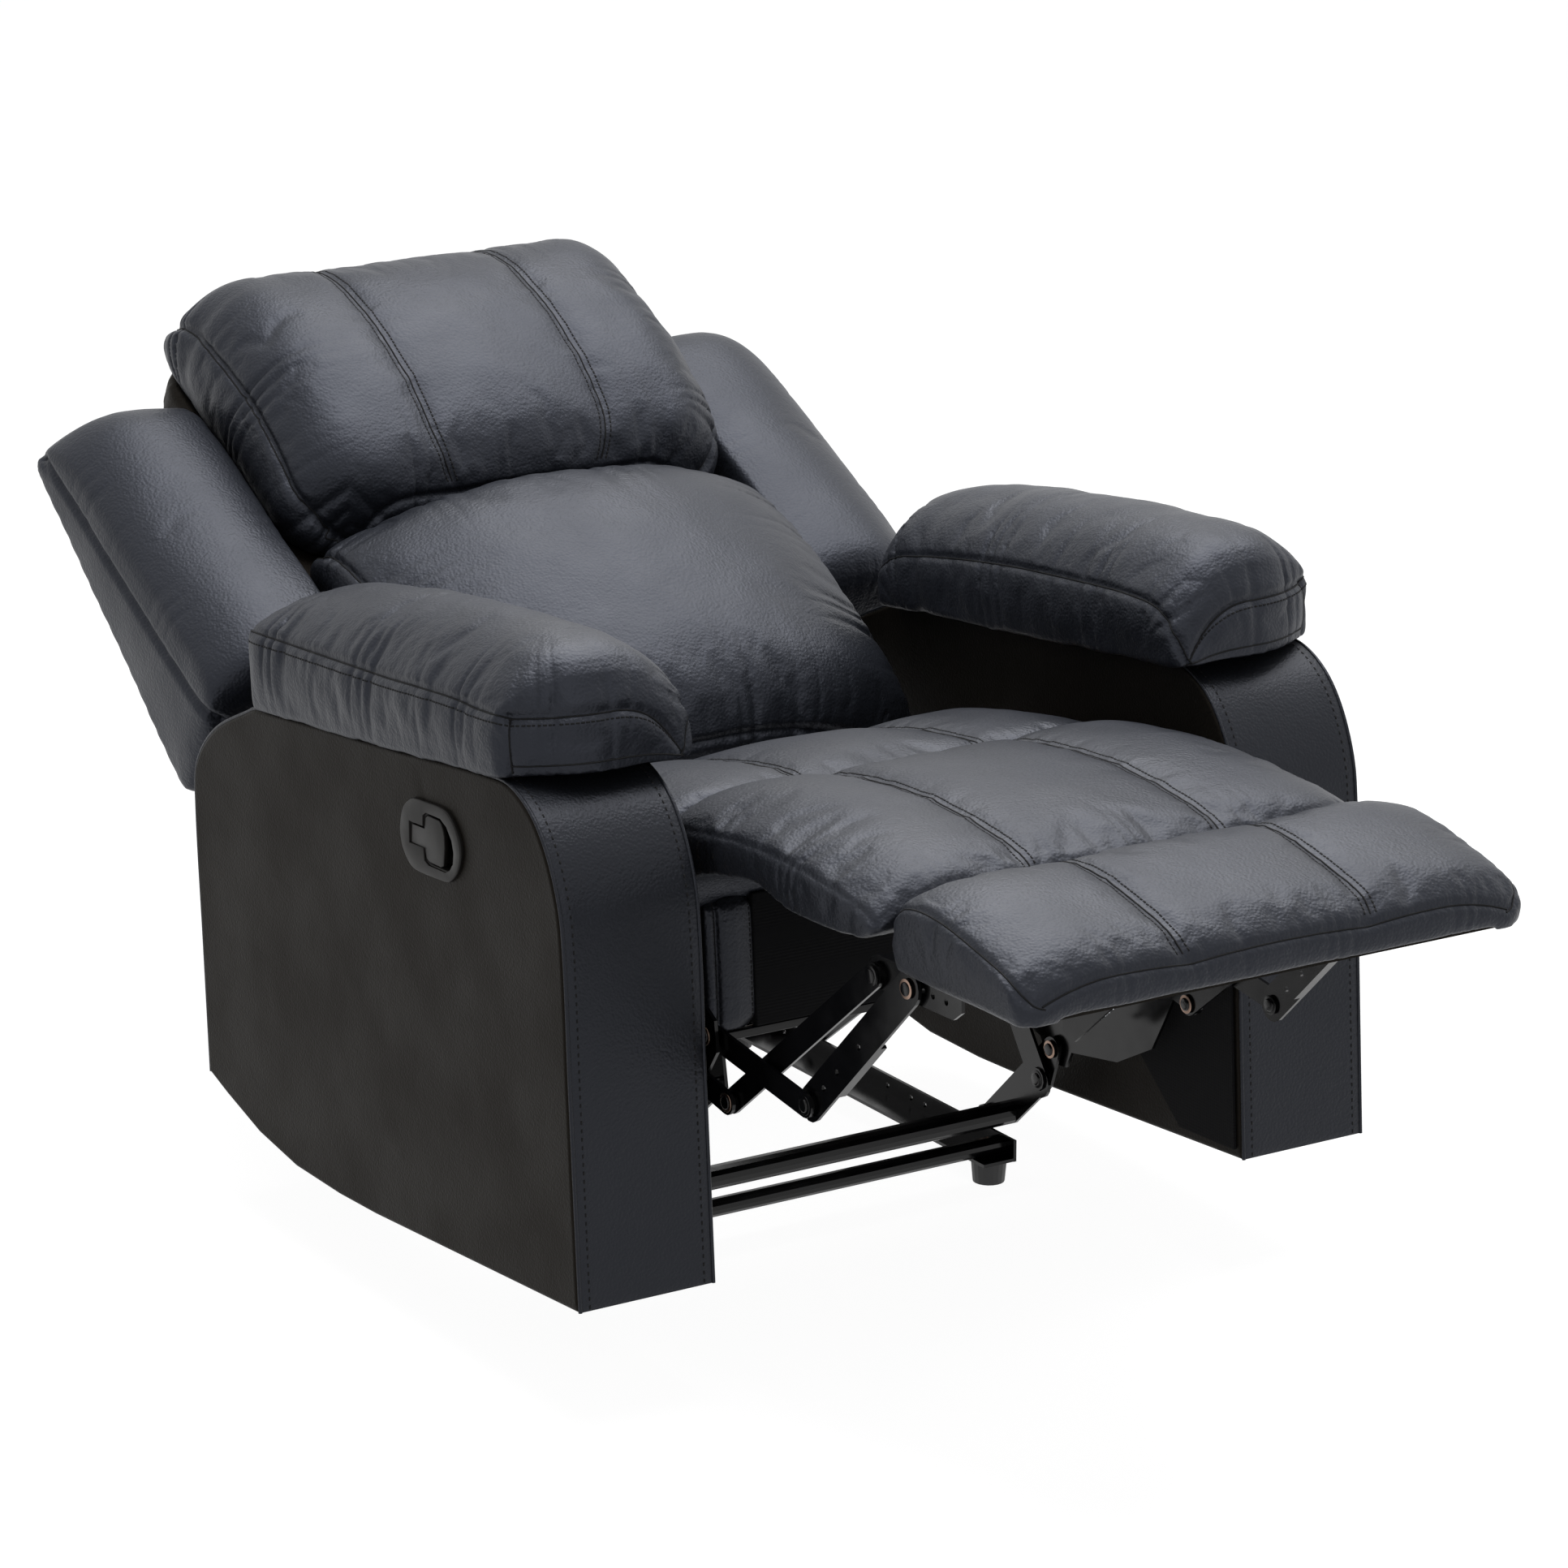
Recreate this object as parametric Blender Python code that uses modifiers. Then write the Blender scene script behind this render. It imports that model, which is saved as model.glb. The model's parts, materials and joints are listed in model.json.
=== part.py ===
# Recliner chair, reclined with the footrest out. Metres, +Z up, the chair faces -Y, the lever is on -X.
import bpy
import bmesh
import math
from mathutils import Matrix, Vector

for old in list(bpy.data.objects):
    bpy.data.objects.remove(old, do_unlink=True)

# Overall sizes
OVERALL_WIDTH = 0.900
ARM_WIDTH = 0.149
HALF = OVERALL_WIDTH / 2
ARM_IN = HALF - ARM_WIDTH
CLEAR = 0.0003
SEAT_GAP = 0.0005
WELD = 0.00001
BODY_LIFT = 0.120
BODY_TILT = math.radians(-4)
BACK_TILT = math.radians(-58)
FOOT_TILT = math.radians(3)
DATUM_Y = -0.3893

# Mechanism sheet and pivots
PLATE = 0.0035
LAYER_GAP = 0.003
SIDE_CLEAR = 0.0004
RAIL_WOOD = 0.0255
SHAFT_R = 0.005
SHOULDER_R = 0.009
HEAD_R = 0.0085
HEAD_T = 0.002
HOLE_R = 0.0055
SLACK_HOLE_R = 0.0070
SLACK_R = 0.0100
OPEN_HOLE_R = 0.0092
OPEN_R = 0.0120
STUD_SIDES = 10
ARC_STEPS = 14
LINK_END_R = 0.012
OPEN_END_R = 0.0165
CHANNEL_R = 0.017
RIVET_HOLE_R = 0.0032

# Pivot places: base ones from the floor, body ones in the tilted seat body
CRANK_BASE = (0.385, 0.055)
CRANK_SEAT = (0.275, 0.160)
CRANK_LINK = (0.287, 0.126)
REAR_BASE = (0.720, 0.0422)
REAR_SEAT = (0.5992, 0.0548)
REAR_REACH = (-0.11552, 0.09185)
BACK_PIVOT = (0.580, 0.365)
RECLINE_TOP = (0.470, 0.322)
RECLINE_REACH = (-0.1845, -0.2996)
LOW_FRONT = (0.047, 0.222)
MID_FRONT = (-0.1136, 0.1905)
TOP_FRONT = (-0.284, 0.336)
LOW_REAR = (0.1437, 0.1912)
MID_REAR = (0.0241, 0.1614)
TOP_REAR = (-0.2275, 0.336)

# Base
RAIL_FRONT = 0.330
RAIL_REAR = 0.860
RAIL_LOW = 0.0225
RAIL_TOP = 0.0455
EAR_R = 0.0130
FLANGE_IN = ARM_IN - 0.0790
FLANGE_RISE = 0.0003
RAIL_HOLES = (0.495, 0.521, 0.566, 0.660, 0.770, 0.800)
FOOT_X = ARM_IN - 0.0595
FOOT_FRONT = 0.350
FOOT_REAR = 0.840
FOOT_R = 0.0165
FOOT_TOP_R = 0.0185
TUBE_R = 0.0098
FRONT_TUBE_Y = 0.352
REAR_TUBE_Y = 0.815
UPPER_TUBE_R = 0.0125
UPPER_TUBE = (0.346, 0.071)
TUBE_SIDES = 14
FOOT_SIDES = 20

# Seat frame
FRAME_FRONT = 0.100
FRAME_REAR = 0.660
FRAME_LOW = 0.225
FRAME_TOP = 0.285
FRONT_RAIL_T = 0.025
FRONT_RAIL_LOW = 0.245
FRONT_RAIL_HALF = ARM_IN - 0.0540
LUG_IN = ARM_IN - 0.0650
LUG_FRONT = 0.140
LUG_REAR = 0.170
LUG_LOW = 0.256
REAR_RAIL_Y = 0.340
REAR_RAIL_T = 0.022
WIRE_R = 0.00175
WAVE_HALF = 0.020
WAVES = 5
WAVE_POINTS = 5
WAVE_OUT = ARM_IN - 0.1360
WAVE_X = (-WAVE_OUT, 0.0, WAVE_OUT)
WAVE_END = 0.006
SEAT_PLATE = (
    (0.028, 0.240), (0.026, 0.210), (0.050, 0.180), (0.085, 0.125), (0.105, 0.095),
    (0.165, 0.068), (0.245, 0.060), (0.256, 0.042), (0.287, 0.042), (0.300, 0.066),
    (0.420, 0.104), (0.540, 0.088), (0.577, 0.036), (0.621, 0.036), (0.632, 0.090),
    (0.616, 0.370), (0.600, 0.386), (0.560, 0.386), (0.545, 0.340), (0.500, 0.276),
    (0.060, 0.262),
)

# Arms and their covers
ARM_OUTLINE = (
    (0.0, 0.0), (0.200, -0.001), (0.389, -0.002), (0.463, 0.0), (0.553, 0.007),
    (0.630, 0.024), (0.698, 0.049), (0.734, 0.064), (0.732, 0.200), (0.730, 0.340),
    (0.722, 0.387), (0.679, 0.428), (0.600, 0.4610), (0.585, 0.4660), (0.100, 0.4840),
    (0.065, 0.474), (0.035, 0.450), (0.012, 0.410), (0.0, 0.360),
)
ARM_ROUND = 0.004
ARM_PAD_TOP = (
    (0.055, 0.540), (0.085, 0.590), (0.200, 0.609), (0.355, 0.606), (0.500, 0.592),
    (0.585, 0.556),
)
ARM_PAD_LOW = ((0.055, 0.4862), (0.100, 0.4845), (0.585, 0.4665))
ARM_PAD_IN = ARM_IN - 0.0330
ARM_PAD_OUT = HALF + 0.011
ARM_PAD_DROP = 0.052
DUST_OUTLINE = (
    (0.007, 0.010), (0.098, 0.012), (0.165, 0.076), (0.300, 0.195), (0.300, 0.2242),
    (0.007, 0.2242),
)
DUST_T = 0.003

# Front apron under the seat
APRON_FRONT = 0.085
APRON_REAR = 0.0997
APRON_LOW = 0.205
APRON_HALF = ARM_IN - 0.0560

# Recline lever in the outer face of the -X arm
LEVER_Y = 0.228
LEVER_Z = 0.404
BEZEL_HALF_Y = 0.058
BEZEL_HALF_Z = 0.0415
BEZEL_LIP = 0.004
BEZEL_WALL = 0.003
CUP_HALF_Y = 0.054
CUP_HALF_Z = 0.0365
CUP_DEPTH = 0.0225
RECESS_DEPTH = 0.0195
RECESS_FRONT = 0.178
RECESS_REAR = 0.2165
RECESS_HALF_Z = 0.0315
SLOT_REAR = 0.2775
SLOT_HALF_Z = 0.0120
SLOT_DEPTH = 0.0125
LEVER_HINGE_Y = 0.2710
LEVER_SINK = 0.0045
LEVER_T = 0.0040
HEAD_FRONT = 0.1975
HEAD_REAR = 0.2125
HEAD_HALF_Z = 0.0270
STEM_HALF_Z = 0.0090
STEM_REAR = 0.2755
PIN_HALF_Y = 0.0025

# Seat, bridge, footrest, head and lumbar cushions: side profiles as (length, height)
SEAM_X = 0.105
SEAM_W = 0.011
SEAM_DEPTH = 0.007
SEAT_CROWN = 0.012
SEAT_SIDE_DROP = 0.020
BRIDGE_CROWN = 0.010
BRIDGE_SIDE_DROP = 0.010
FOOT_CROWN = 0.010
FOOT_SIDE_DROP = 0.018
HEAD_CROWN = 0.014
HEAD_SIDE_DROP = 0.050
LUMBAR_CROWN = 0.012
LUMBAR_SIDE_DROP = 0.045
SEAT_HALF = ARM_IN - 0.0210
SEAT_TOP = (
    (-0.060, 0.428), (-0.020, 0.449), (0.065, 0.443), (0.120, 0.4270), (0.165, 0.428),
    (0.290, 0.414), (0.405, 0.380),
)
SEAT_LOW = (
    (-0.060, 0.392), (-0.020, 0.384), (0.065, 0.366), (0.120, 0.2893), (0.165, 0.2893),
    (0.290, 0.2893), (0.405, 0.2893),
)
BRIDGE_TOP = ((-0.255, 0.412), (-0.225, 0.4290), (-0.108, 0.4460), (-0.0570, 0.4340))
BRIDGE_LOW = ((-0.255, 0.388), (-0.225, 0.3720), (-0.108, 0.3720), (-0.0570, 0.3860))
FOOT_PAD_HALF = ARM_IN - 0.0210
FOOT_PAD_TOP = (
    (-0.201, 0.040), (-0.1780, 0.0620), (-0.1268, 0.0828), (-0.0600, 0.0985),
    (-0.0100, 0.0960), (0.0215, 0.0740),
)
FOOT_PAD_LOW = (
    (-0.201, 0.0300), (-0.1780, 0.0280), (-0.1268, 0.0280), (-0.0600, 0.0280),
    (-0.0100, 0.0280), (0.0215, 0.0300),
)
FOOT_BOARD_HALF = ARM_IN - 0.0520
FOOT_BOARD_FRONT = -0.185
FOOT_BOARD_REAR = 0.010
FOOT_BOARD_LOW = 0.0153
FOOT_BOARD_TOP = 0.0275
BRACKET_OUTLINE = (
    (-0.075, -0.004), (-0.062, -0.0135), (0.0, -0.0145), (0.060, -0.0165),
    (0.071, -0.010), (0.071, 0.0080), (0.060, 0.0150), (-0.075, 0.0150),
)
BRACKET_HOLES = (-0.0150, -0.0300, -0.0510)
BRACKET_FLANGE_LOW = 0.0116
BRACKET_FLANGE_IN = ARM_IN - 0.0860
BRACKET_FLANGE_FRONT = -0.072
BRACKET_FLANGE_REAR = 0.056
BACK_HALF = ARM_IN - 0.0364
BACK_NARROW_HALF = ARM_IN - 0.0460
BACK_LOW = 0.0125
BACK_NARROW_LOW = -0.088
BACK_TOP = 0.660
BACK_T = 0.020
PANEL_HALF = ARM_IN - 0.0323
PANEL_LOW = 0.020
PANEL_TOP = 0.690
PANEL_DEEP_LOW = 0.145
PANEL_DEEP_TOP = 0.060
BACK_BRACKET_TOP = 0.138
BACK_BRACKET_FRONT = -0.004
BACK_BRACKET_REAR = 0.0190
RECLINE_EYE_R = 0.013
BACK_EYE_R = 0.018
HEAD_HALF = ARM_IN - 0.0330
HEAD_TOP_LINE = (
    (0.322, 0.075), (0.350, 0.112), (0.430, 0.139), (0.540, 0.142), (0.640, 0.122),
    (0.706, 0.060),
)
HEAD_LOW_LINE = (
    (0.322, 0.0005), (0.350, 0.0005), (0.430, 0.0005), (0.540, 0.0005), (0.640, 0.0005),
    (0.706, 0.0005),
)
LUMBAR_HALF = ARM_IN - 0.0435
LUMBAR_TOP_LINE = (
    (-0.100, 0.085), (-0.060, 0.126), (0.060, 0.141), (0.180, 0.139), (0.280, 0.112),
    (0.317, 0.070),
)
LUMBAR_LOW_LINE = (
    (-0.100, 0.0060), (-0.060, 0.0005), (0.060, 0.0005), (0.180, 0.0005), (0.280, 0.0005),
    (0.317, 0.0005),
)
WING_IN = ARM_IN - 0.0327
WING_OUT = HALF - 0.020
WING_TOP_LINE = (
    (0.155, 0.012), (0.190, 0.026), (0.360, 0.026), (0.530, 0.022), (0.600, -0.020),
)
WING_LOW_LINE = (
    (0.155, -0.140), (0.190, -0.141), (0.360, -0.105), (0.530, -0.070), (0.600, -0.052),
)

# Coil springs of the footrest
COIL_R = 0.0068
COIL_WIRE_R = 0.0010
CURLS = 8
CURL_POINTS = 8
COIL_X = ARM_IN - 0.0645
COIL_FROM = (0.1040, 0.1580)
COIL_TO = (0.1760, 0.1080)
HOOK_R = 0.0042
HOOK_POINTS = 7
HOOK_TAIL = 0.0050
PIN_R = 0.0024
PIN_REACH = 0.0060
STRAP_IN = ARM_IN - 0.0795
STRAP_OUTLINE = (
    (0.104, 0.2447), (0.1015, 0.198), (0.096, 0.150), (0.166, 0.098), (0.186, 0.104),
    (0.186, 0.118), (0.130, 0.170), (0.121, 0.2447),
)

# Shares
DRAW_SIDE_SHARE = 0.030
DRAW_END_SHARE = 0.030
MID_LEVEL_SHARE = 0.5
OUTER_COLUMN_SHARE = 0.72

LAYER_OUT = ARM_IN - CLEAR - RAIL_WOOD - CLEAR
SIDES = ((-1, "right"), (1, "left"))


def collection(name):
    made = bpy.data.collections.new(name)
    bpy.context.scene.collection.children.link(made)
    return made


PARTS = collection("recliner_chair")
CUTTERS = collection("recliner_cutters")


def material(name, colour, roughness, metallic):
    made = bpy.data.materials.new(name)
    made.use_nodes = True
    shader = made.node_tree.nodes["Principled BSDF"]
    shader.inputs["Base Color"].default_value = (*colour, 1)
    shader.inputs["Roughness"].default_value = roughness
    shader.inputs["Metallic"].default_value = metallic
    made.diffuse_color = (*colour, 1)
    return made


LEATHER = material("black_leather", (0.018, 0.018, 0.021), 0.42, 0)
PANEL_LEATHER = material("side_panel_leather", (0.012, 0.012, 0.013), 0.5, 0)
FABRIC = material("black_dust_fabric", (0.01, 0.01, 0.011), 0.9, 0)
STEEL = material("black_painted_steel", (0.012, 0.012, 0.013), 0.3, 0)
WIRE = material("zinc_plated_wire", (0.62, 0.63, 0.64), 0.3, 1)
PLASTIC = material("black_plastic", (0.015, 0.015, 0.016), 0.4, 0)
FOOT_PLASTIC = material("foot_plastic", (0.02, 0.02, 0.02), 0.6, 0)
WOOD = material("frame_wood", (0.42, 0.30, 0.18), 0.7, 0)


def frame(name, parent, place, tilt):
    made = bpy.data.objects.new(name, None)
    PARTS.objects.link(made)
    made.parent = parent
    made.location = (0, place[0], place[1])
    made.rotation_euler = (tilt, 0, 0)
    return made


def less(a, b):
    return (a[0] - b[0], a[1] - b[1])


def keep(name, mesh, parent, look, smooth=False):
    made = bpy.data.objects.new(name, mesh)
    PARTS.objects.link(made)
    made.parent = parent
    mesh.materials.clear()
    mesh.materials.append(look)
    for face in mesh.polygons:
        face.use_smooth = smooth
    return made


def tool(name, mesh, parent):
    made = bpy.data.objects.new(name, mesh)
    CUTTERS.objects.link(made)
    made.parent = parent
    made.hide_render = True
    made.display_type = "WIRE"
    return made


def boolean(target, other, kind):
    mod = target.modifiers.new("shape", "BOOLEAN")
    mod.operation = kind
    mod.solver = "EXACT"
    mod.object = other


def box_mesh(name, low, high):
    bm = bmesh.new()
    bmesh.ops.create_cube(bm, size=1)
    for vert in bm.verts:
        for axis in range(3):
            vert.co[axis] = high[axis] if vert.co[axis] > 0 else low[axis]
    mesh = bpy.data.meshes.new(name)
    bm.to_mesh(mesh)
    bm.free()
    return mesh


def boxes_mesh(name, boxes):
    bm = bmesh.new()
    for low, high in boxes:
        piece = box_mesh(name, low, high)
        bm.from_mesh(piece)
        bpy.data.meshes.remove(piece)
    mesh = bpy.data.meshes.new(name)
    bm.to_mesh(mesh)
    bm.free()
    return mesh


def soften(obj, width, segments):
    mod = obj.modifiers.new("edge", "BEVEL")
    mod.width = width
    mod.segments = segments
    mod.limit_method = "ANGLE"
    mod.angle_limit = math.radians(40)


def face_outwards(bm):
    bmesh.ops.recalc_face_normals(bm, faces=bm.faces[:])
    if bm.calc_volume(signed=True) < 0:
        bmesh.ops.reverse_faces(bm, faces=bm.faces[:])


def circle(centre, radius, steps=ARC_STEPS):
    return [
        (
            centre[0] + radius * math.cos(2 * math.pi * k / steps),
            centre[1] + radius * math.sin(2 * math.pi * k / steps),
        )
        for k in range(steps)
    ]


def wrap(circles, steps=ARC_STEPS):
    # the outline of a sheet link: a band pulled round its eyes
    points = sorted(p for centre, radius in circles for p in circle(centre, radius, steps))

    def half(row):
        chain = []
        for p in row:
            while len(chain) > 1:
                a, b = chain[-2], chain[-1]
                turn = (b[0] - a[0]) * (p[1] - a[1]) - (b[1] - a[1]) * (p[0] - a[0])
                if turn > 0:
                    break
                chain.pop()
            chain.append(p)
        return chain[:-1]

    return half(points) + half(points[::-1])


def sheet_mesh(name, outlines, low, high, edge=0.0, flat=False):
    # a flat outline in y and z, given its thickness along x (or in x and z, along y)
    curve = bpy.data.curves.new(name, "CURVE")
    curve.dimensions = "2D"
    curve.fill_mode = "BOTH"
    curve.extrude = (high - low) / 2 - edge
    if edge:
        curve.bevel_depth = edge
        curve.bevel_resolution = 1
        curve.offset = -edge
    for outline in outlines:
        spline = curve.splines.new("POLY")
        spline.points.add(len(outline) - 1)
        for point, at in zip(spline.points, outline):
            point.co = (at[0], at[1], 0, 1)
        spline.use_cyclic_u = True
    holder = bpy.data.objects.new(name + "_curve", curve)
    bpy.context.scene.collection.objects.link(holder)
    bpy.context.view_layer.update()
    graph = bpy.context.evaluated_depsgraph_get()
    mesh = bpy.data.meshes.new_from_object(holder.evaluated_get(graph))
    mesh.name = name
    bm = bmesh.new()
    bm.from_mesh(mesh)
    bmesh.ops.remove_doubles(bm, verts=bm.verts[:], dist=WELD)
    middle = (low + high) / 2
    for vert in bm.verts:
        a, b, c = vert.co
        vert.co = (a, middle - c, b) if flat else (middle + c, a, b)
    face_outwards(bm)
    bm.to_mesh(mesh)
    bm.free()
    bpy.data.objects.remove(holder, do_unlink=True)
    bpy.data.curves.remove(curve)
    return mesh


def turned_mesh(name, profiles, steps):
    # each profile is (centre, ((x, radius), ...)), turned round an axis along x
    whole = bmesh.new()
    for centre, profile in profiles:
        bm = bmesh.new()
        row = [bm.verts.new((x, centre[0] + r, centre[1])) for x, r in profile]
        edges = [bm.edges.new(pair) for pair in zip(row, row[1:])]
        bmesh.ops.spin(
            bm, geom=row + edges, cent=(0, centre[0], centre[1]), axis=(1, 0, 0),
            dvec=(0, 0, 0), angle=2 * math.pi, steps=steps, use_merge=True,
        )
        bmesh.ops.remove_doubles(bm, verts=bm.verts[:], dist=WELD)
        face_outwards(bm)
        piece = bpy.data.meshes.new(name)
        bm.to_mesh(piece)
        bm.free()
        whole.from_mesh(piece)
        bpy.data.meshes.remove(piece)
    mesh = bpy.data.meshes.new(name)
    whole.to_mesh(mesh)
    whole.free()
    return mesh


def rod(name, centre, radius, low, high, sides, parent, look, top_radius=None):
    ends = ((low, 0), (low, radius), (high, radius if top_radius is None else top_radius), (high, 0))
    return keep(name, turned_mesh(name, ((centre, ends),), sides), parent, look, True)


def tube_path(name, points, radius, parent, look, resolution=1):
    curve = bpy.data.curves.new(name, "CURVE")
    curve.dimensions = "3D"
    curve.bevel_depth = radius
    curve.bevel_resolution = resolution
    curve.use_fill_caps = True
    spline = curve.splines.new("POLY")
    spline.points.add(len(points) - 1)
    for point, at in zip(spline.points, points):
        point.co = (*at, 1)
    holder = bpy.data.objects.new(name + "_curve", curve)
    bpy.context.scene.collection.objects.link(holder)
    bpy.context.view_layer.update()
    graph = bpy.context.evaluated_depsgraph_get()
    mesh = bpy.data.meshes.new_from_object(holder.evaluated_get(graph))
    mesh.name = name
    bm = bmesh.new()
    bm.from_mesh(mesh)
    bmesh.ops.remove_doubles(bm, verts=bm.verts[:], dist=WELD)
    face_outwards(bm)
    bm.to_mesh(mesh)
    bm.free()
    bpy.data.objects.remove(holder, do_unlink=True)
    bpy.data.curves.remove(curve)
    return keep(name, mesh, parent, look, True)


def layer(index):
    out = LAYER_OUT - index * (PLATE + LAYER_GAP)
    return (out - PLATE, out)


def stud(centre, own, other, side, kind="tight"):
    # a shouldered pivot stud: rooted in its own sheet, through the other one, with a head beyond it
    shoulder = {"tight": SHOULDER_R, "slack": SLACK_R, "open": OPEN_R}[kind]
    head = {"tight": HEAD_R, "slack": SLACK_R, "open": OPEN_R}[kind]
    a, b = layer(own), layer(other)
    root = (a[0] + a[1]) / 2
    inward = other > own
    near, far = (b[1], b[0]) if inward else (b[0], b[1])
    step = -1 if inward else 1
    near = near - step * SIDE_CLEAR
    far = far + step * SIDE_CLEAR
    end = far + step * HEAD_T
    row = (
        (root, 0), (root, shoulder), (near, shoulder), (near, SHAFT_R), (far, SHAFT_R),
        (far, head), (end, head), (end, 0),
    )
    return (centre, tuple((side * x, r) for x, r in row))


def sheet_part(name, outline, holes, index, side, parent, studs=(), extras=()):
    inner, outer = layer(index)
    low, high = sorted((side * inner, side * outer))
    rings = [outline] + [circle(centre, radius, STUD_SIDES) for centre, radius in holes]
    made = keep(name, sheet_mesh(name, rings, low, high), parent, STEEL)
    if studs:
        boolean(made, tool(name + "_studs", turned_mesh(name + "_studs", studs, STUD_SIDES), parent), "UNION")
    for count, extra in enumerate(extras):
        boolean(made, tool(f"{name}_fold{count}", extra, parent), "UNION")
    return made


def side_box(side, low, high):
    xs = sorted((side * low[0], side * high[0]))
    return (xs[0], low[1], low[2]), (xs[1], high[1], high[2])


def interpolate(table, at):
    if at <= table[0][0]:
        return table[0][1]
    for (a, u), (b, v) in zip(table, table[1:]):
        if at <= b:
            return u + (v - u) * (at - a) / (b - a)
    return table[-1][1]


def grid_block(xs, ys, zs):
    bm = bmesh.new()
    bmesh.ops.create_cube(bm, size=1)
    for vert in bm.verts:
        vert.co = (
            xs[-1] if vert.co.x > 0 else xs[0],
            ys[-1] if vert.co.y > 0 else ys[0],
            zs[-1] if vert.co.z > 0 else zs[0],
        )
    for axis, cuts in enumerate((xs, ys, zs)):
        normal = [0, 0, 0]
        normal[axis] = 1
        for cut in cuts[1:-1]:
            place = [0, 0, 0]
            place[axis] = cut
            bmesh.ops.bisect_plane(
                bm, geom=bm.verts[:] + bm.edges[:] + bm.faces[:], dist=WELD / 10,
                plane_co=place, plane_no=normal,
            )
    return bm


def cushion(
    name, parent, look, turn, centre_x, half, top, low, seams, bulge, side_drop, depth=SEAM_DEPTH
):
    # length runs along local y and the outer face is up; seams run along its length
    inner = [half * OUTER_COLUMN_SHARE] if seams else [half / 2]
    xs = sorted(
        {-half, 0.0, half, inner[0], -inner[0]}
        | {s + d for s in seams for d in (-SEAM_W, 0.0, SEAM_W)}
    )
    ys = [at for at, height in top]
    bm = grid_block(xs, ys, [0, MID_LEVEL_SHARE, 1])
    middle = (ys[0] + ys[-1]) / 2
    edges = [-half] + sorted(seams) + [half]
    for vert in bm.verts:
        x, y, w = vert.co
        high = interpolate(top, y)
        for a, b in zip(edges, edges[1:]):
            if a - WELD <= x <= b + WELD:
                t = (2 * x - a - b) / (b - a)
                rise = bulge * (1 - t * t)
                if b == half:
                    rise -= side_drop * max(t, 0) ** 2
                if a == -half:
                    rise -= side_drop * max(-t, 0) ** 2
        if any(abs(x - s) < WELD for s in seams):
            rise -= depth
        base = interpolate(low, y)
        pinch = (2 * w - 1) ** 2
        vert.co = (
            x * (1 - DRAW_SIDE_SHARE * pinch),
            middle + (y - middle) * (1 - DRAW_END_SHARE * pinch),
            base + (high + rise - base) * w,
        )
    face_outwards(bm)
    mesh = bpy.data.meshes.new(name)
    bm.to_mesh(mesh)
    bm.free()
    made = keep(name, mesh, parent, look, True)
    made.location = (centre_x, 0, 0)
    made.rotation_euler = (turn, 0, 0)
    mod = made.modifiers.new("soft", "SUBSURF")
    mod.levels = 1
    mod.render_levels = 1
    return made


base = frame("base_frame", None, (DATUM_Y, 0), 0)
crank = frame("crank_frame", base, CRANK_BASE, 0)
rear_link = frame("rear_link_frame", base, REAR_BASE, 0)
body = frame("seat_body_frame", base, (0, BODY_LIFT), BODY_TILT)
back = frame("back_frame", body, BACK_PIVOT, BACK_TILT)
recline = frame("recline_link_frame", body, RECLINE_TOP, 0)
lower_front = frame("lower_front_link_frame", body, LOW_FRONT, 0)
upper_front = frame("upper_front_link_frame", lower_front, less(MID_FRONT, LOW_FRONT), 0)
lower_rear = frame("lower_rear_link_frame", body, LOW_REAR, 0)
upper_rear = frame("upper_rear_link_frame", lower_rear, less(MID_REAR, LOW_REAR), 0)
foot = frame("footrest_frame", upper_front, less(TOP_FRONT, MID_FRONT), FOOT_TILT)


def turn_point(point, angle):
    c, s = math.cos(angle), math.sin(angle)
    return (point[0] * c - point[1] * s, point[0] * s + point[1] * c)


BACK_RECLINE_POINT = turn_point(less(RECLINE_TOP, BACK_PIVOT), -BACK_TILT)
FOOT_REAR_POINT = turn_point(less(TOP_REAR, TOP_FRONT), -FOOT_TILT)
CRANK_ARM = less(CRANK_SEAT, CRANK_BASE)
CRANK_PIN = less(CRANK_LINK, CRANK_BASE)
CRANK_TUBE = less(UPPER_TUBE, CRANK_BASE)
SEAT_CRANK = turn_point(less(CRANK_SEAT, (0, BODY_LIFT)), -BODY_TILT)

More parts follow.
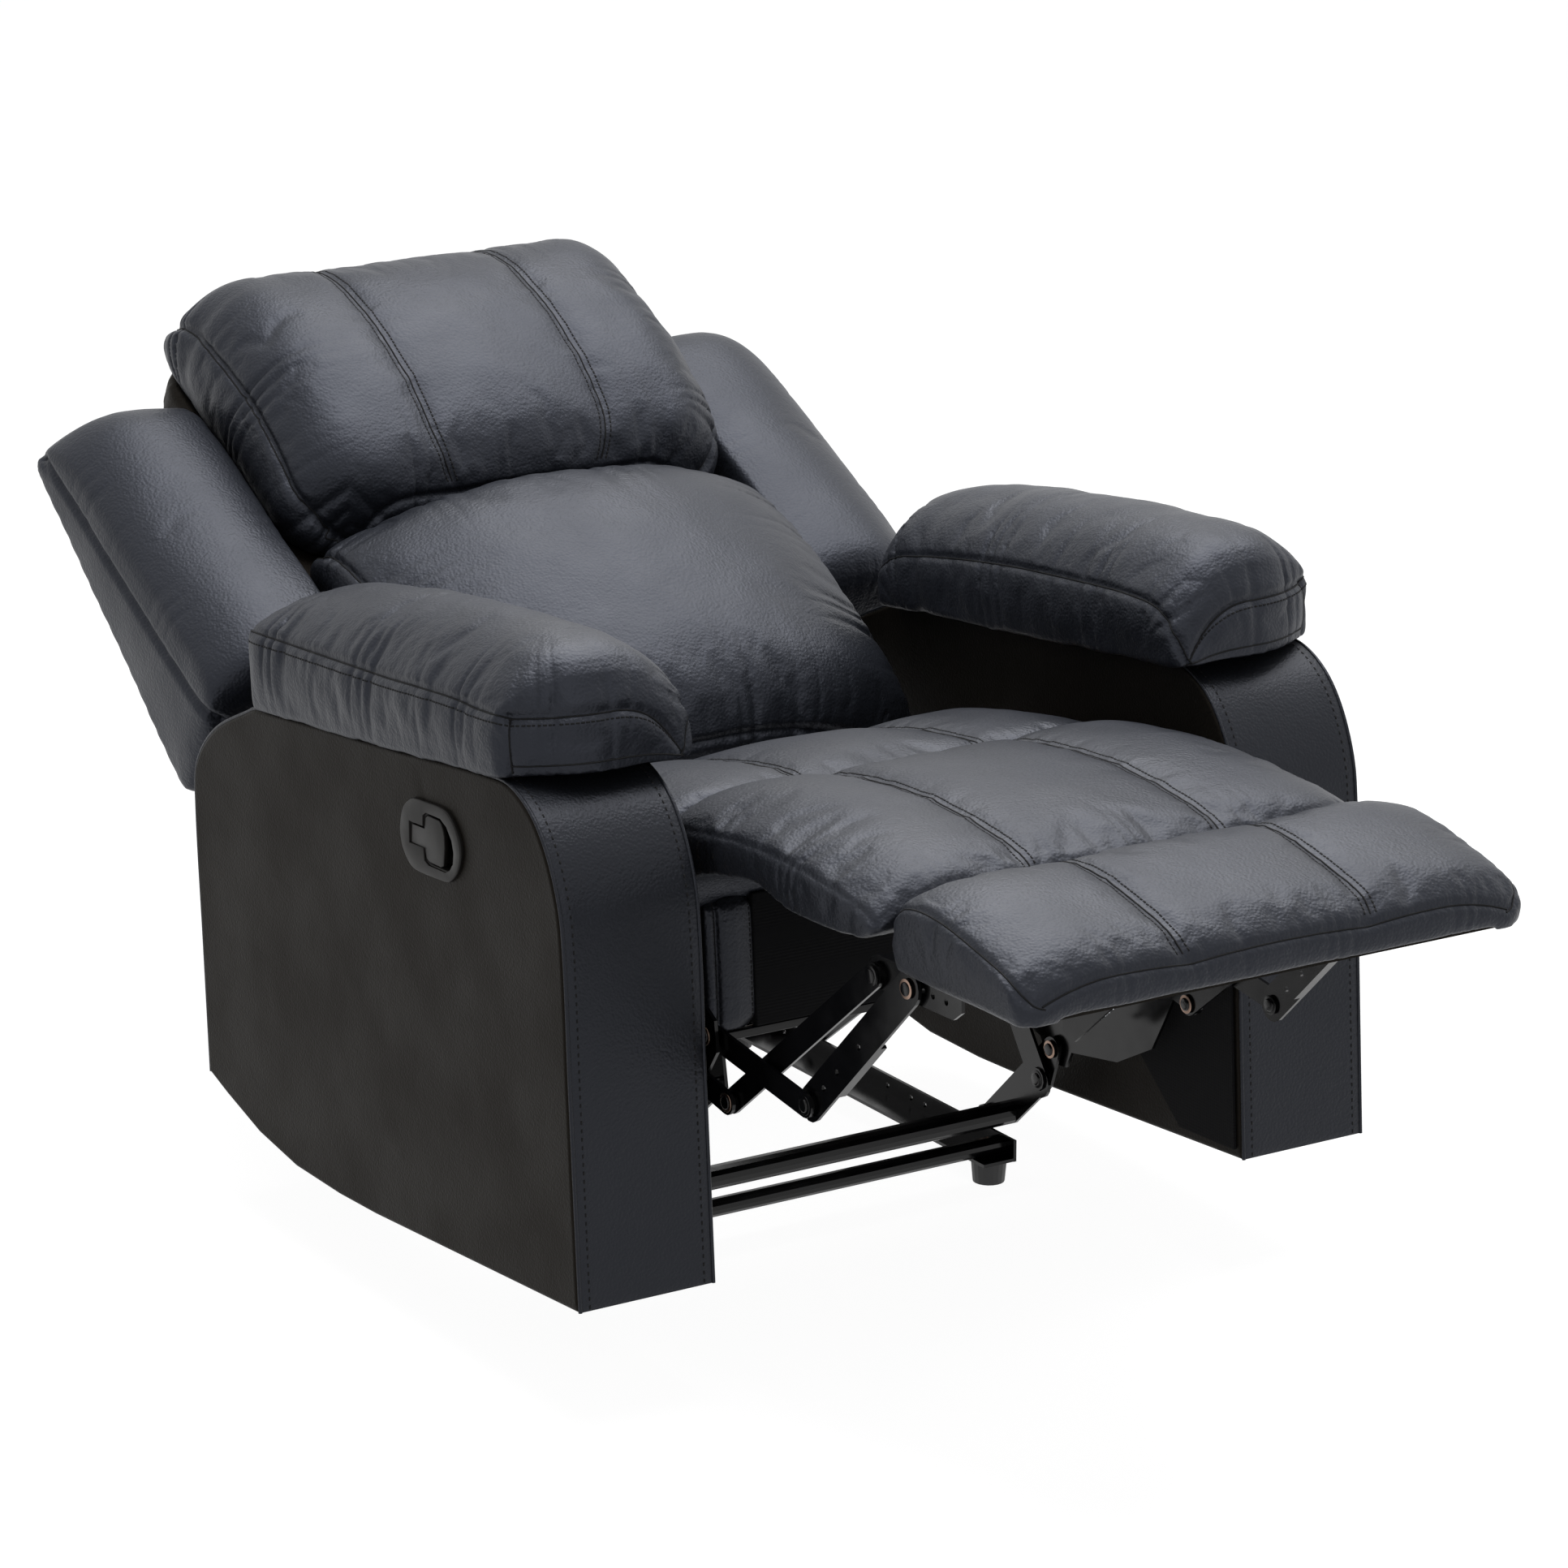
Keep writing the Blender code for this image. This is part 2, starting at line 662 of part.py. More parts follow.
for side, word in SIDES:
    # base rails, feet, crank and rear swing link
    web = (
        [(RAIL_FRONT, RAIL_LOW), (RAIL_REAR, RAIL_LOW), (RAIL_REAR, RAIL_TOP)]
        + [(REAR_BASE[0] + EAR_R, RAIL_TOP)]
        + [p for p in circle(REAR_BASE, EAR_R) if p[1] > RAIL_TOP + WELD]
        + [(REAR_BASE[0] - EAR_R, RAIL_TOP), (CRANK_BASE[0] + EAR_R, RAIL_TOP)]
        + [p for p in circle(CRANK_BASE, EAR_R) if p[1] > CRANK_BASE[1] - WELD]
        + [(CRANK_BASE[0] - EAR_R, RAIL_TOP), (RAIL_FRONT, RAIL_TOP)]
    )
    middle_z = (RAIL_LOW + RAIL_TOP) / 2
    holes = [((y, middle_z), RIVET_HOLE_R) for y in RAIL_HOLES]
    inner, outer = layer(2)
    flange_low = RAIL_LOW + FLANGE_RISE
    flange = box_mesh(
        "flange",
        *side_box(
            side, (FLANGE_IN, RAIL_FRONT, flange_low), (inner + PLATE / 2, RAIL_REAR, flange_low + PLATE)
        ),
    )
    sheet_part(
        f"base_rail_{word}", web, holes, 2, side, base,
        (stud(CRANK_BASE, 2, 1, side), stud(REAR_BASE, 2, 1, side)), (flange,),
    )
    for end, y in (("front", FOOT_FRONT), ("rear", FOOT_REAR)):
        bm = bmesh.new()
        tall = flange_low - CLEAR
        bmesh.ops.create_cone(
            bm, cap_ends=True, segments=FOOT_SIDES, radius1=FOOT_R, radius2=FOOT_TOP_R, depth=tall,
        )
        mesh = bpy.data.meshes.new("foot")
        bm.to_mesh(mesh)
        bm.free()
        made = keep(f"foot_{end}_{word}", mesh, base, FOOT_PLASTIC, True)
        made.location = (side * FOOT_X, y, tall / 2)
    sheet_part(
        f"crank_{word}",
        wrap((
            ((0, 0), EAR_R), (CRANK_ARM, EAR_R), (CRANK_PIN, EAR_R), (CRANK_TUBE, UPPER_TUBE_R),
        )),
        (((0, 0), HOLE_R), (CRANK_ARM, HOLE_R)), 1, side, crank,
        (stud(CRANK_PIN, 1, 2, side, "open"),),
    )
    sheet_part(
        f"rear_swing_link_{word}",
        wrap((((0, 0), LINK_END_R), (REAR_REACH, OPEN_END_R))),
        (((0, 0), HOLE_R), (REAR_REACH, OPEN_HOLE_R)), 1, side, rear_link,
    )
    # seat body side plate and rail
    sheet_part(
        f"seat_side_plate_{word}", SEAT_PLATE, (), 0, side, body,
        (
            stud(LOW_FRONT, 0, 1, side), stud(LOW_REAR, 0, 1, side), stud(BACK_PIVOT, 0, 1, side),
            stud(SEAT_CRANK, 0, 1, side), stud(REAR_SEAT, 0, 1, side, "open"),
        ),
    )
    keep(
        f"seat_side_rail_{word}",
        box_mesh(
            "rail",
            *side_box(
                side, (LAYER_OUT + CLEAR, FRAME_FRONT, FRAME_LOW), (ARM_IN - CLEAR, FRAME_REAR, FRAME_TOP)
            ),
        ),
        body, WOOD,
    )
    # links of the footrest
    sheet_part(
        f"lower_front_link_{word}",
        wrap((((0, 0), LINK_END_R), (less(MID_FRONT, LOW_FRONT), LINK_END_R))),
        (((0, 0), HOLE_R),), 1, side, lower_front,
        (stud(less(MID_FRONT, LOW_FRONT), 1, 2, side),),
    )
    sheet_part(
        f"lower_rear_link_{word}",
        wrap((((0, 0), LINK_END_R), (less(MID_REAR, LOW_REAR), LINK_END_R))),
        (((0, 0), HOLE_R),), 1, side, lower_rear,
        (stud(less(MID_REAR, LOW_REAR), 1, 2, side),),
    )
    reach = Vector(less(TOP_FRONT, MID_FRONT))
    along = reach.normalized()
    across = Vector((-along.y, along.x))
    inner, outer = layer(2)
    folds = []
    for edge in (-1, 1):
        corners = []
        for share in (0.2, 0.62):
            for drop in (CHANNEL_R - PLATE, CHANNEL_R):
                spot = along * reach.length * share + across * edge * drop
                corners.append((spot.x, spot.y))
        order = [corners[k] for k in (0, 1, 3, 2)]
        low_x, high_x = sorted((side * (inner - PLATE * 2), side * (inner + PLATE / 2)))
        folds.append(sheet_mesh("fold", [order], low_x, high_x))
    slots = [((along * reach.length * share).to_tuple(), RIVET_HOLE_R) for share in (0.14, 0.28, 0.5)]
    sheet_part(
        f"upper_front_link_{word}",
        wrap((((0, 0), CHANNEL_R), (tuple(reach), CHANNEL_R))),
        [((0, 0), HOLE_R), (tuple(reach), HOLE_R)] + slots, 2, side, upper_front, (), folds,
    )
    sheet_part(
        f"upper_rear_link_{word}",
        wrap((((0, 0), LINK_END_R), (less(TOP_REAR, MID_REAR), LINK_END_R))),
        (((0, 0), HOLE_R), (less(TOP_REAR, MID_REAR), SLACK_HOLE_R)), 2, side, upper_rear,
    )
    inner, outer = layer(3)
    flange = box_mesh(
        "flange",
        *side_box(
            side, (BRACKET_FLANGE_IN, BRACKET_FLANGE_FRONT, BRACKET_FLANGE_LOW),
            (inner + PLATE / 2, BRACKET_FLANGE_REAR, BRACKET_FLANGE_LOW + PLATE - FLANGE_RISE),
        ),
    )
    sheet_part(
        f"footrest_bracket_{word}", BRACKET_OUTLINE,
        [((y, 0), RIVET_HOLE_R) for y in BRACKET_HOLES], 3, side, foot,
        (stud((0, 0), 3, 2, side), stud(FOOT_REAR_POINT, 3, 2, side, "slack")), (flange,),
    )
    # back bracket and recline link
    sheet_part(
        f"back_bracket_{word}",
        wrap((
            ((0, 0), BACK_EYE_R), (BACK_RECLINE_POINT, RECLINE_EYE_R),
            ((BACK_BRACKET_REAR - LINK_END_R, BACK_BRACKET_TOP - LINK_END_R), LINK_END_R),
        )),
        (((0, 0), HOLE_R),), 1, side, back,
        (stud(BACK_RECLINE_POINT, 1, 2, side),),
    )
    sheet_part(
        f"recline_link_{word}",
        wrap((((0, 0), LINK_END_R), (RECLINE_REACH, OPEN_END_R))),
        (((0, 0), HOLE_R), (RECLINE_REACH, OPEN_HOLE_R)), 2, side, recline,
    )
    # arm, arm pad and dust panel
    low_x, high_x = sorted((side * ARM_IN, side * HALF))
    arm = keep(
        f"arm_{word}", sheet_mesh("arm", [ARM_OUTLINE], low_x, high_x, ARM_ROUND), body, PANEL_LEATHER,
    )
    if side < 0:
        pocket = box_mesh(
            "pocket",
            (-HALF - BEZEL_LIP, LEVER_Y - CUP_HALF_Y - CLEAR, LEVER_Z - CUP_HALF_Z - CLEAR),
            (-HALF + CUP_DEPTH + CLEAR, LEVER_Y + CUP_HALF_Y + CLEAR, LEVER_Z + CUP_HALF_Z + CLEAR),
        )
        boolean(arm, tool("lever_pocket", pocket, body), "DIFFERENCE")
    cushion(
        f"arm_pad_{word}", body, LEATHER, 0, side * (ARM_PAD_IN + ARM_PAD_OUT) / 2,
        (ARM_PAD_OUT - ARM_PAD_IN) / 2, ARM_PAD_TOP, ARM_PAD_LOW, (), 0.0, ARM_PAD_DROP,
    )
    low_x, high_x = sorted((side * (ARM_IN - CLEAR - DUST_T), side * (ARM_IN - CLEAR)))
    keep(f"dust_panel_{word}", sheet_mesh("dust", [DUST_OUTLINE], low_x, high_x), body, FABRIC)
    # wings of the back
    cushion(
        f"back_wing_{word}", back, LEATHER, math.pi / 2, side * (WING_IN + WING_OUT) / 2,
        (WING_OUT - WING_IN) / 2, WING_TOP_LINE, WING_LOW_LINE, (), 0.0, 0.0,
    )

# cross tubes
tube_z = RAIL_LOW + FLANGE_RISE + PLATE + CLEAR + TUBE_R
span = layer(2)[0] - CLEAR
rod("base_tube_front", (FRONT_TUBE_Y, tube_z), TUBE_R, -span, span, TUBE_SIDES, base, STEEL)
rod("base_tube_rear", (REAR_TUBE_Y, tube_z), TUBE_R, -span, span, TUBE_SIDES, base, STEEL)
span = layer(1)[0] - CLEAR
rod("crank_tube", CRANK_TUBE, UPPER_TUBE_R, -span, span, TUBE_SIDES, crank, STEEL)

# front rail with its lugs, the anchors of the coil springs, and the rear rail
front_rail = keep(
    "seat_front_rail",
    box_mesh(
        "rail",
        (-FRONT_RAIL_HALF, FRAME_FRONT, FRONT_RAIL_LOW),
        (FRONT_RAIL_HALF, FRAME_FRONT + FRONT_RAIL_T, FRAME_TOP),
    ),
    body, STEEL,
)
lug_out = layer(0)[0] - CLEAR
lugs, toes = [], []
for side, word in SIDES:
    corner = (LUG_IN, FRAME_FRONT + FRONT_RAIL_T / 2, LUG_LOW)
    lugs.append(side_box(side, corner, (FRONT_RAIL_HALF - CLEAR, LUG_REAR, FRAME_TOP - CLEAR)))
    corner = (LUG_IN + CLEAR, LUG_FRONT, LUG_LOW + CLEAR)
    toes.append(side_box(side, corner, (lug_out, LUG_REAR - CLEAR, FRAME_TOP - 2 * CLEAR)))
boolean(front_rail, tool("rail_lugs", boxes_mesh("lugs", lugs), body), "UNION")
boolean(front_rail, tool("rail_toes", boxes_mesh("toes", toes), body), "UNION")
for side, word in SIDES:
    low_x, high_x = sorted((side * STRAP_IN, side * (STRAP_IN + PLATE)))
    anchor = keep(
        f"spring_anchor_{word}", sheet_mesh("strap", [STRAP_OUTLINE], low_x, high_x), body, STEEL
    )
    pins = []
    for centre in (COIL_FROM, COIL_TO):
        near, far = STRAP_IN + PLATE / 2, COIL_X + PIN_REACH
        row = ((near, 0), (near, PIN_R), (far, PIN_R), (far, 0))
        pins.append((centre, tuple((side * x, r) for x, r in row)))
    boolean(anchor, tool(f"spring_pins_{word}", turned_mesh("pins", pins, STUD_SIDES), body), "UNION")
keep(
    "seat_rear_rail",
    box_mesh(
        "rail", (-lug_out, REAR_RAIL_Y, FRAME_LOW), (lug_out, REAR_RAIL_Y + REAR_RAIL_T, FRAME_TOP)
    ),
    body, WOOD,
)

# sinuous springs lying on the two rails
spring_z = FRAME_TOP + CLEAR + WIRE_R
spring_from = FRAME_FRONT + WAVE_END
spring_to = REAR_RAIL_Y + REAR_RAIL_T - WAVE_END
for count, at in enumerate(WAVE_X):
    steps = WAVES * WAVE_POINTS
    points = [
        (
            at + WAVE_HALF * math.sin(2 * math.pi * WAVES * k / steps),
            spring_from + (spring_to - spring_from) * k / steps,
            spring_z,
        )
        for k in range(steps + 1)
    ]
    tube_path(f"sinuous_spring_{count + 1}", points, WIRE_R, body, WIRE)

# coil springs of the footrest, each one unbroken wire with a hook at both ends
for side, word in SIDES:
    start = Vector((side * COIL_X, *COIL_FROM))
    finish = Vector((side * COIL_X, *COIL_TO))
    along = (finish - start).normalized()
    across = Vector((0, -along.z, along.y))
    sideways = Vector((1, 0, 0))
    length = (finish - start).length
    margin = HOOK_R + HOOK_TAIL
    points = []
    for k in range(HOOK_POINTS):
        angle = math.pi * (1.45 - 1.45 * k / (HOOK_POINTS - 1))
        points.append(start + HOOK_R * (along * math.cos(angle) + across * math.sin(angle)))
    steps = CURLS * CURL_POINTS
    for k in range(steps + 1):
        angle = 2 * math.pi * CURLS * k / steps
        here = start + along * (margin + (length - 2 * margin) * k / steps)
        points.append(here + COIL_R * (across * math.cos(angle) + sideways * math.sin(angle)))
    for k in range(HOOK_POINTS):
        angle = math.pi * (1.0 + 1.45 * k / (HOOK_POINTS - 1))
        points.append(finish + HOOK_R * (along * math.cos(angle) + across * math.sin(angle)))
    least = min(
        (a - b).length
        for k, a in enumerate(points)
        for b in points[k + 5:]
    )
    print(f"coil spring {word}: least gap between turns {1000 * (least - 2 * COIL_WIRE_R):.2f} mm")
    tube_path(f"coil_spring_{word}", [tuple(p) for p in points], COIL_WIRE_R, body, WIRE)

# apron
apron = keep(
    "front_apron",
    box_mesh("apron", (-APRON_HALF, APRON_FRONT, APRON_LOW), (APRON_HALF, APRON_REAR, FRAME_TOP)),
    body, FABRIC,
)
soften(apron, 0.004, 1)

# lever bezel and lever
bezel = keep(
    "lever_bezel",
    box_mesh(
        "bezel",
        (-HALF - BEZEL_LIP, LEVER_Y - BEZEL_HALF_Y, LEVER_Z - BEZEL_HALF_Z),
        (-HALF - CLEAR, LEVER_Y + BEZEL_HALF_Y, LEVER_Z + BEZEL_HALF_Z),
    ),
    body, PLASTIC,
)
cup = box_mesh(
    "cup",
    (-HALF - BEZEL_LIP / 2, LEVER_Y - CUP_HALF_Y, LEVER_Z - CUP_HALF_Z),
    (-HALF + CUP_DEPTH, LEVER_Y + CUP_HALF_Y, LEVER_Z + CUP_HALF_Z),
)
boolean(bezel, tool("bezel_cup", cup, body), "UNION")
outside = -HALF - BEZEL_LIP - SEAT_GAP
recess = box_mesh(
    "recess",
    (outside, RECESS_FRONT, LEVER_Z - RECESS_HALF_Z),
    (-HALF - BEZEL_LIP + RECESS_DEPTH, RECESS_REAR, LEVER_Z + RECESS_HALF_Z),
)
boolean(bezel, tool("bezel_recess", recess, body), "DIFFERENCE")
slot = box_mesh(
    "slot",
    (outside, RECESS_REAR - SEAT_GAP, LEVER_Z - SLOT_HALF_Z),
    (-HALF - BEZEL_LIP + SLOT_DEPTH, SLOT_REAR, LEVER_Z + SLOT_HALF_Z),
)
boolean(bezel, tool("bezel_slot", slot, body), "DIFFERENCE")
lever_x = -HALF + LEVER_SINK
lever_frame = bpy.data.objects.new("lever_frame", None)
PARTS.objects.link(lever_frame)
lever_frame.parent = body
lever_frame.location = (lever_x, LEVER_HINGE_Y, LEVER_Z)
outline = (
    (HEAD_FRONT + CLEAR, -HEAD_HALF_Z + LEVER_T), (HEAD_FRONT + LEVER_T, -HEAD_HALF_Z),
    (HEAD_REAR, -HEAD_HALF_Z), (HEAD_REAR, -STEM_HALF_Z),
    (LEVER_HINGE_Y - PIN_HALF_Y, -STEM_HALF_Z), (LEVER_HINGE_Y - PIN_HALF_Y, CLEAR - SLOT_HALF_Z),
    (LEVER_HINGE_Y + PIN_HALF_Y, CLEAR - SLOT_HALF_Z), (LEVER_HINGE_Y + PIN_HALF_Y, -STEM_HALF_Z),
    (STEM_REAR, -STEM_HALF_Z), (STEM_REAR, STEM_HALF_Z),
    (LEVER_HINGE_Y + PIN_HALF_Y, STEM_HALF_Z), (LEVER_HINGE_Y + PIN_HALF_Y, SLOT_HALF_Z - CLEAR),
    (LEVER_HINGE_Y - PIN_HALF_Y, SLOT_HALF_Z - CLEAR), (LEVER_HINGE_Y - PIN_HALF_Y, STEM_HALF_Z),
    (HEAD_REAR, STEM_HALF_Z), (HEAD_REAR, HEAD_HALF_Z),
    (HEAD_FRONT + LEVER_T, HEAD_HALF_Z), (HEAD_FRONT + CLEAR, HEAD_HALF_Z - LEVER_T),
)
outline = [(y - LEVER_HINGE_Y, z) for y, z in outline]
keep("release_lever", sheet_mesh("lever", [outline], -LEVER_T / 2, LEVER_T / 2), lever_frame, PLASTIC)

# cushions
SEAMS = (-SEAM_X, SEAM_X)
cushion("seat_cushion", body, LEATHER, 0, 0, SEAT_HALF, SEAT_TOP, SEAT_LOW, SEAMS, SEAT_CROWN,
        SEAT_SIDE_DROP)
cushion("bridge_pad", body, LEATHER, 0, 0, SEAT_HALF, BRIDGE_TOP, BRIDGE_LOW, SEAMS,
        BRIDGE_CROWN, BRIDGE_SIDE_DROP)
cushion(
    "footrest_pad", foot, LEATHER, 0, 0, FOOT_PAD_HALF, FOOT_PAD_TOP, FOOT_PAD_LOW, SEAMS, FOOT_CROWN,
    FOOT_SIDE_DROP,
)
keep(
    "footrest_board",
    box_mesh(
        "board",
        (-FOOT_BOARD_HALF, FOOT_BOARD_FRONT, FOOT_BOARD_LOW),
        (FOOT_BOARD_HALF, FOOT_BOARD_REAR, FOOT_BOARD_TOP),
    ),
    foot, WOOD,
)
cushion(
    "head_cushion", back, LEATHER, math.pi / 2, 0, HEAD_HALF, HEAD_TOP_LINE, HEAD_LOW_LINE, SEAMS,
    HEAD_CROWN, HEAD_SIDE_DROP,
)
cushion(
    "lumbar_cushion", back, LEATHER, math.pi / 2, 0, LUMBAR_HALF, LUMBAR_TOP_LINE, LUMBAR_LOW_LINE,
    SEAMS, LUMBAR_CROWN, LUMBAR_SIDE_DROP,
)
board_line = (
    (-BACK_NARROW_HALF, BACK_NARROW_LOW), (BACK_NARROW_HALF, BACK_NARROW_LOW),
    (BACK_NARROW_HALF, BACK_LOW), (BACK_HALF, BACK_LOW), (BACK_HALF, BACK_TOP),
    (-BACK_HALF, BACK_TOP), (-BACK_HALF, BACK_LOW), (-BACK_NARROW_HALF, BACK_LOW),
)
keep("back_board", sheet_mesh("board", [board_line], 0, BACK_T, 0.0, True), back, WOOD)
panel = box_mesh(
    "panel", (-PANEL_HALF, BACK_T + CLEAR, PANEL_LOW), (PANEL_HALF, PANEL_DEEP_LOW, PANEL_TOP)
)
for vert in panel.vertices:
    if vert.co.y > BACK_T + SEAT_GAP and vert.co.z > BACK_TOP:
        vert.co.y = PANEL_DEEP_TOP
panel = keep("back_outer_panel", panel, back, FABRIC)
soften(panel, 0.008, 1)
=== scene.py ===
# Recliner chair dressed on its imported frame: metres, +Z up, the chair faces -Y, the lever is on -X
import bpy
import bmesh
import json
import math
import numpy as np
from mathutils import Matrix, Vector, noise
from mathutils.bvhtree import BVHTree


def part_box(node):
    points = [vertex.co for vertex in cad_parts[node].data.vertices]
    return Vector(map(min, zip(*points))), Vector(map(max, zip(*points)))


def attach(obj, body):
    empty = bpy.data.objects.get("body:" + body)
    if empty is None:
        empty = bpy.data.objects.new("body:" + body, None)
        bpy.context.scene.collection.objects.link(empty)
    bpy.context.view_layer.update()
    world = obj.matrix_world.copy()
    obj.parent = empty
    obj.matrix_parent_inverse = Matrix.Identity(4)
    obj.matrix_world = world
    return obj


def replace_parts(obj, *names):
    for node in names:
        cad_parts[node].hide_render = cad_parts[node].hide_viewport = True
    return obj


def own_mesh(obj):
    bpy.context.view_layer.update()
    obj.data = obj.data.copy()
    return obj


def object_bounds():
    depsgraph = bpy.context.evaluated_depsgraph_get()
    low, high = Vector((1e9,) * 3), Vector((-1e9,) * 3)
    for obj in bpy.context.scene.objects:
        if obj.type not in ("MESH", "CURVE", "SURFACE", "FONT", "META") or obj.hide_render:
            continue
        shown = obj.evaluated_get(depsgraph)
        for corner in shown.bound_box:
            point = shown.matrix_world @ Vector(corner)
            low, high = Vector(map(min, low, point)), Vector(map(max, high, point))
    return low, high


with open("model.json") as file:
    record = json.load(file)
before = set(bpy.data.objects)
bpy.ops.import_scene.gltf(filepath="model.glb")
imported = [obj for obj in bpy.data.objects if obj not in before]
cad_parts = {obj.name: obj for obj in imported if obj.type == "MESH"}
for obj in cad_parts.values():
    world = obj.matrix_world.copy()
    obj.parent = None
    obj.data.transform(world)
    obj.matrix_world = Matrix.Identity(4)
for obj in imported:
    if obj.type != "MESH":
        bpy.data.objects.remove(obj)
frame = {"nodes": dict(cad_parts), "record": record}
cadLow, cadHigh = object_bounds()
nodes = frame["nodes"]
scene = bpy.context.scene
print("frame loaded", len(nodes), "nodes")


def turnX(degrees):
    return Matrix.Rotation(math.radians(degrees), 4, "X")


def objectOf(name, data):
    made = bpy.data.objects.new(name, data)
    scene.collection.objects.link(made)
    return made


def meshOf(name, bm):
    mesh = bpy.data.meshes.new(name)
    bm.to_mesh(mesh)
    bm.free()
    return mesh


def shapeOf(obj):  # its mesh as the modifiers leave it
    return obj.evaluated_get(bpy.context.evaluated_depsgraph_get())


def transformed(bm, matrix):
    bmesh.ops.transform(bm, matrix=matrix, verts=bm.verts)


def facedOut(bm):
    bmesh.ops.recalc_face_normals(bm, faces=bm.faces)


def bevelled(bm, edges, offset, segments=3, **more):
    bmesh.ops.bevel(bm, geom=edges, offset=offset, affect="EDGES", segments=segments, profile=0.5,
                    material=-1, **more)


def addCopy(bm, form, matrix):
    copy = form.copy()
    copy.transform(matrix)
    bm.from_mesh(copy)
    bpy.data.meshes.remove(copy)


# where the seat body, the back and the footrest stand at rest
bodyPlace = Matrix.Translation((0, -0.3893, 0.12)) @ turnX(-4)
backPlace = bodyPlace @ Matrix.Translation((0, 0.58, 0.365)) @ turnX(32)  # pad length up the back
footPlace = bodyPlace @ Matrix.Translation((0, -0.284, 0.336)) @ turnX(3)

# camera at the photograph's angle, angles in radians
view = {"lens": 139.8, "sensor": 36, "place": (-3.05388, -4.876, 2.20552), "down": 0.29566528,
        "turn": -0.56226162}
cameraData = bpy.data.cameras.new("camera")
cameraData.lens, cameraData.sensor_width = view["lens"], view["sensor"]
camera = objectOf("camera", cameraData)
camera.location = view["place"]
camera.rotation_euler = (math.pi / 2 - view["down"], 0, view["turn"])
scene.camera = camera
scene.view_settings.view_transform = "Standard"

# materials


def colour(hexText):  # sRGB hex to linear
    parts = [int(hexText[i:i + 2], 16) / 255 for i in (1, 3, 5)]
    return [p / 12.92 if p <= 0.04045 else ((p + 0.055) / 1.055) ** 2.4 for p in parts] + [1]


def addNode(tree, kind, inputs=None, **settings):
    node = tree.nodes.new(kind)
    for name, value in settings.items():
        setattr(node, name, value)
    for name, value in (inputs or {}).items():
        if isinstance(value, bpy.types.NodeSocket):
            tree.links.new(value, node.inputs[name])
        else:
            node.inputs[name].default_value = value
    return node


def newMaterial(name, values, settings):
    made = bpy.data.materials.new(name)
    made.use_nodes = True
    shader = made.node_tree.nodes["Principled BSDF"]
    for socket, value in {"Base Color": colour(values["dark"]), **settings}.items():
        shader.inputs[socket].default_value = value
    made.diffuse_color = shader.inputs["Base Color"].default_value
    place = addNode(made.node_tree, "ShaderNodeTexCoord").outputs["Object"]
    return made, made.node_tree, shader, place


def maths(tree, operation, *values):
    return addNode(tree, "ShaderNodeMath", dict(enumerate(values)), operation=operation).outputs[0]


def noiseOf(tree, place, scale, detail, **more):
    made = addNode(tree, "ShaderNodeTexNoise", {"Vector": place, "Scale": scale, "Detail": detail, **more})
    return made.outputs["Fac"]


def ranged(tree, value, start, end, low, high):
    return addNode(tree, "ShaderNodeMapRange", {
        "Value": value, "From Min": start, "From Max": end, "To Min": low, "To Max": high}).outputs["Result"]


def surfaced(tree, shader, values, blend, strength, distance, height):  # two tones and a relief
    tint = addNode(tree, "ShaderNodeMix", {
        0: blend, 6: colour(values["dark"]), 7: colour(values["light"])}, data_type="RGBA")
    bump = addNode(tree, "ShaderNodeBump", {"Strength": strength, "Distance": distance, "Height": height})
    tree.links.new(tint.outputs[2], shader.inputs["Base Color"])
    tree.links.new(bump.outputs["Normal"], shader.inputs["Normal"])


def leather(name, values):
    # coated split leather: a printed pebble grain under a semi-gloss coat, creased finely where it bends
    rough = values["roughness"]
    made, tree, shader, place = newMaterial(name, values, {
        "Roughness": rough, "IOR": 1.5, "Specular IOR Level": values["specular"],
        "Specular Tint": colour(values["tint"]), "Coat Weight": values["coat"],
        "Coat Roughness": values["coatRoughness"]})
    pebbles = addNode(tree, "ShaderNodeTexVoronoi", {"Vector": place, "Scale": 1 / values["grain"]},
                      feature="SMOOTH_F1")
    creases = noiseOf(tree, place, 1 / values["crease"], 5, Roughness=0.6, Distortion=0.6)
    clouds = noiseOf(tree, place, 9, 3)
    pebbleHeight = ranged(tree, pebbles.outputs["Distance"], 0, 0.75, 1, 0)
    height = maths(tree, "MULTIPLY_ADD", creases, 1.2, pebbleHeight)
    surfaced(tree, shader, values, clouds, values["bump"], 0.0005, height)
    tree.links.new(ranged(tree, clouds, 0.35, 0.65, rough - 0.04, rough + 0.05), shader.inputs["Roughness"])
    return made


def painted(name, values):
    # a sprayed or moulded skin: even colour, faint orange peel and a little dust in the gloss
    rough = values["roughness"]
    made, tree, shader, place = newMaterial(name, values, {
        "Roughness": rough, "Metallic": values.get("metallic", 0),
        "Specular IOR Level": values.get("specular", 0.5)})
    peel = noiseOf(tree, place, 1 / values["grain"], 2)
    marks = noiseOf(tree, place, 30, 4)
    surfaced(tree, shader, values, marks, values["bump"], 0.0002, peel)
    tree.links.new(ranged(tree, marks, 0.3, 0.7, rough - 0.05, rough + 0.07), shader.inputs["Roughness"])
    return made


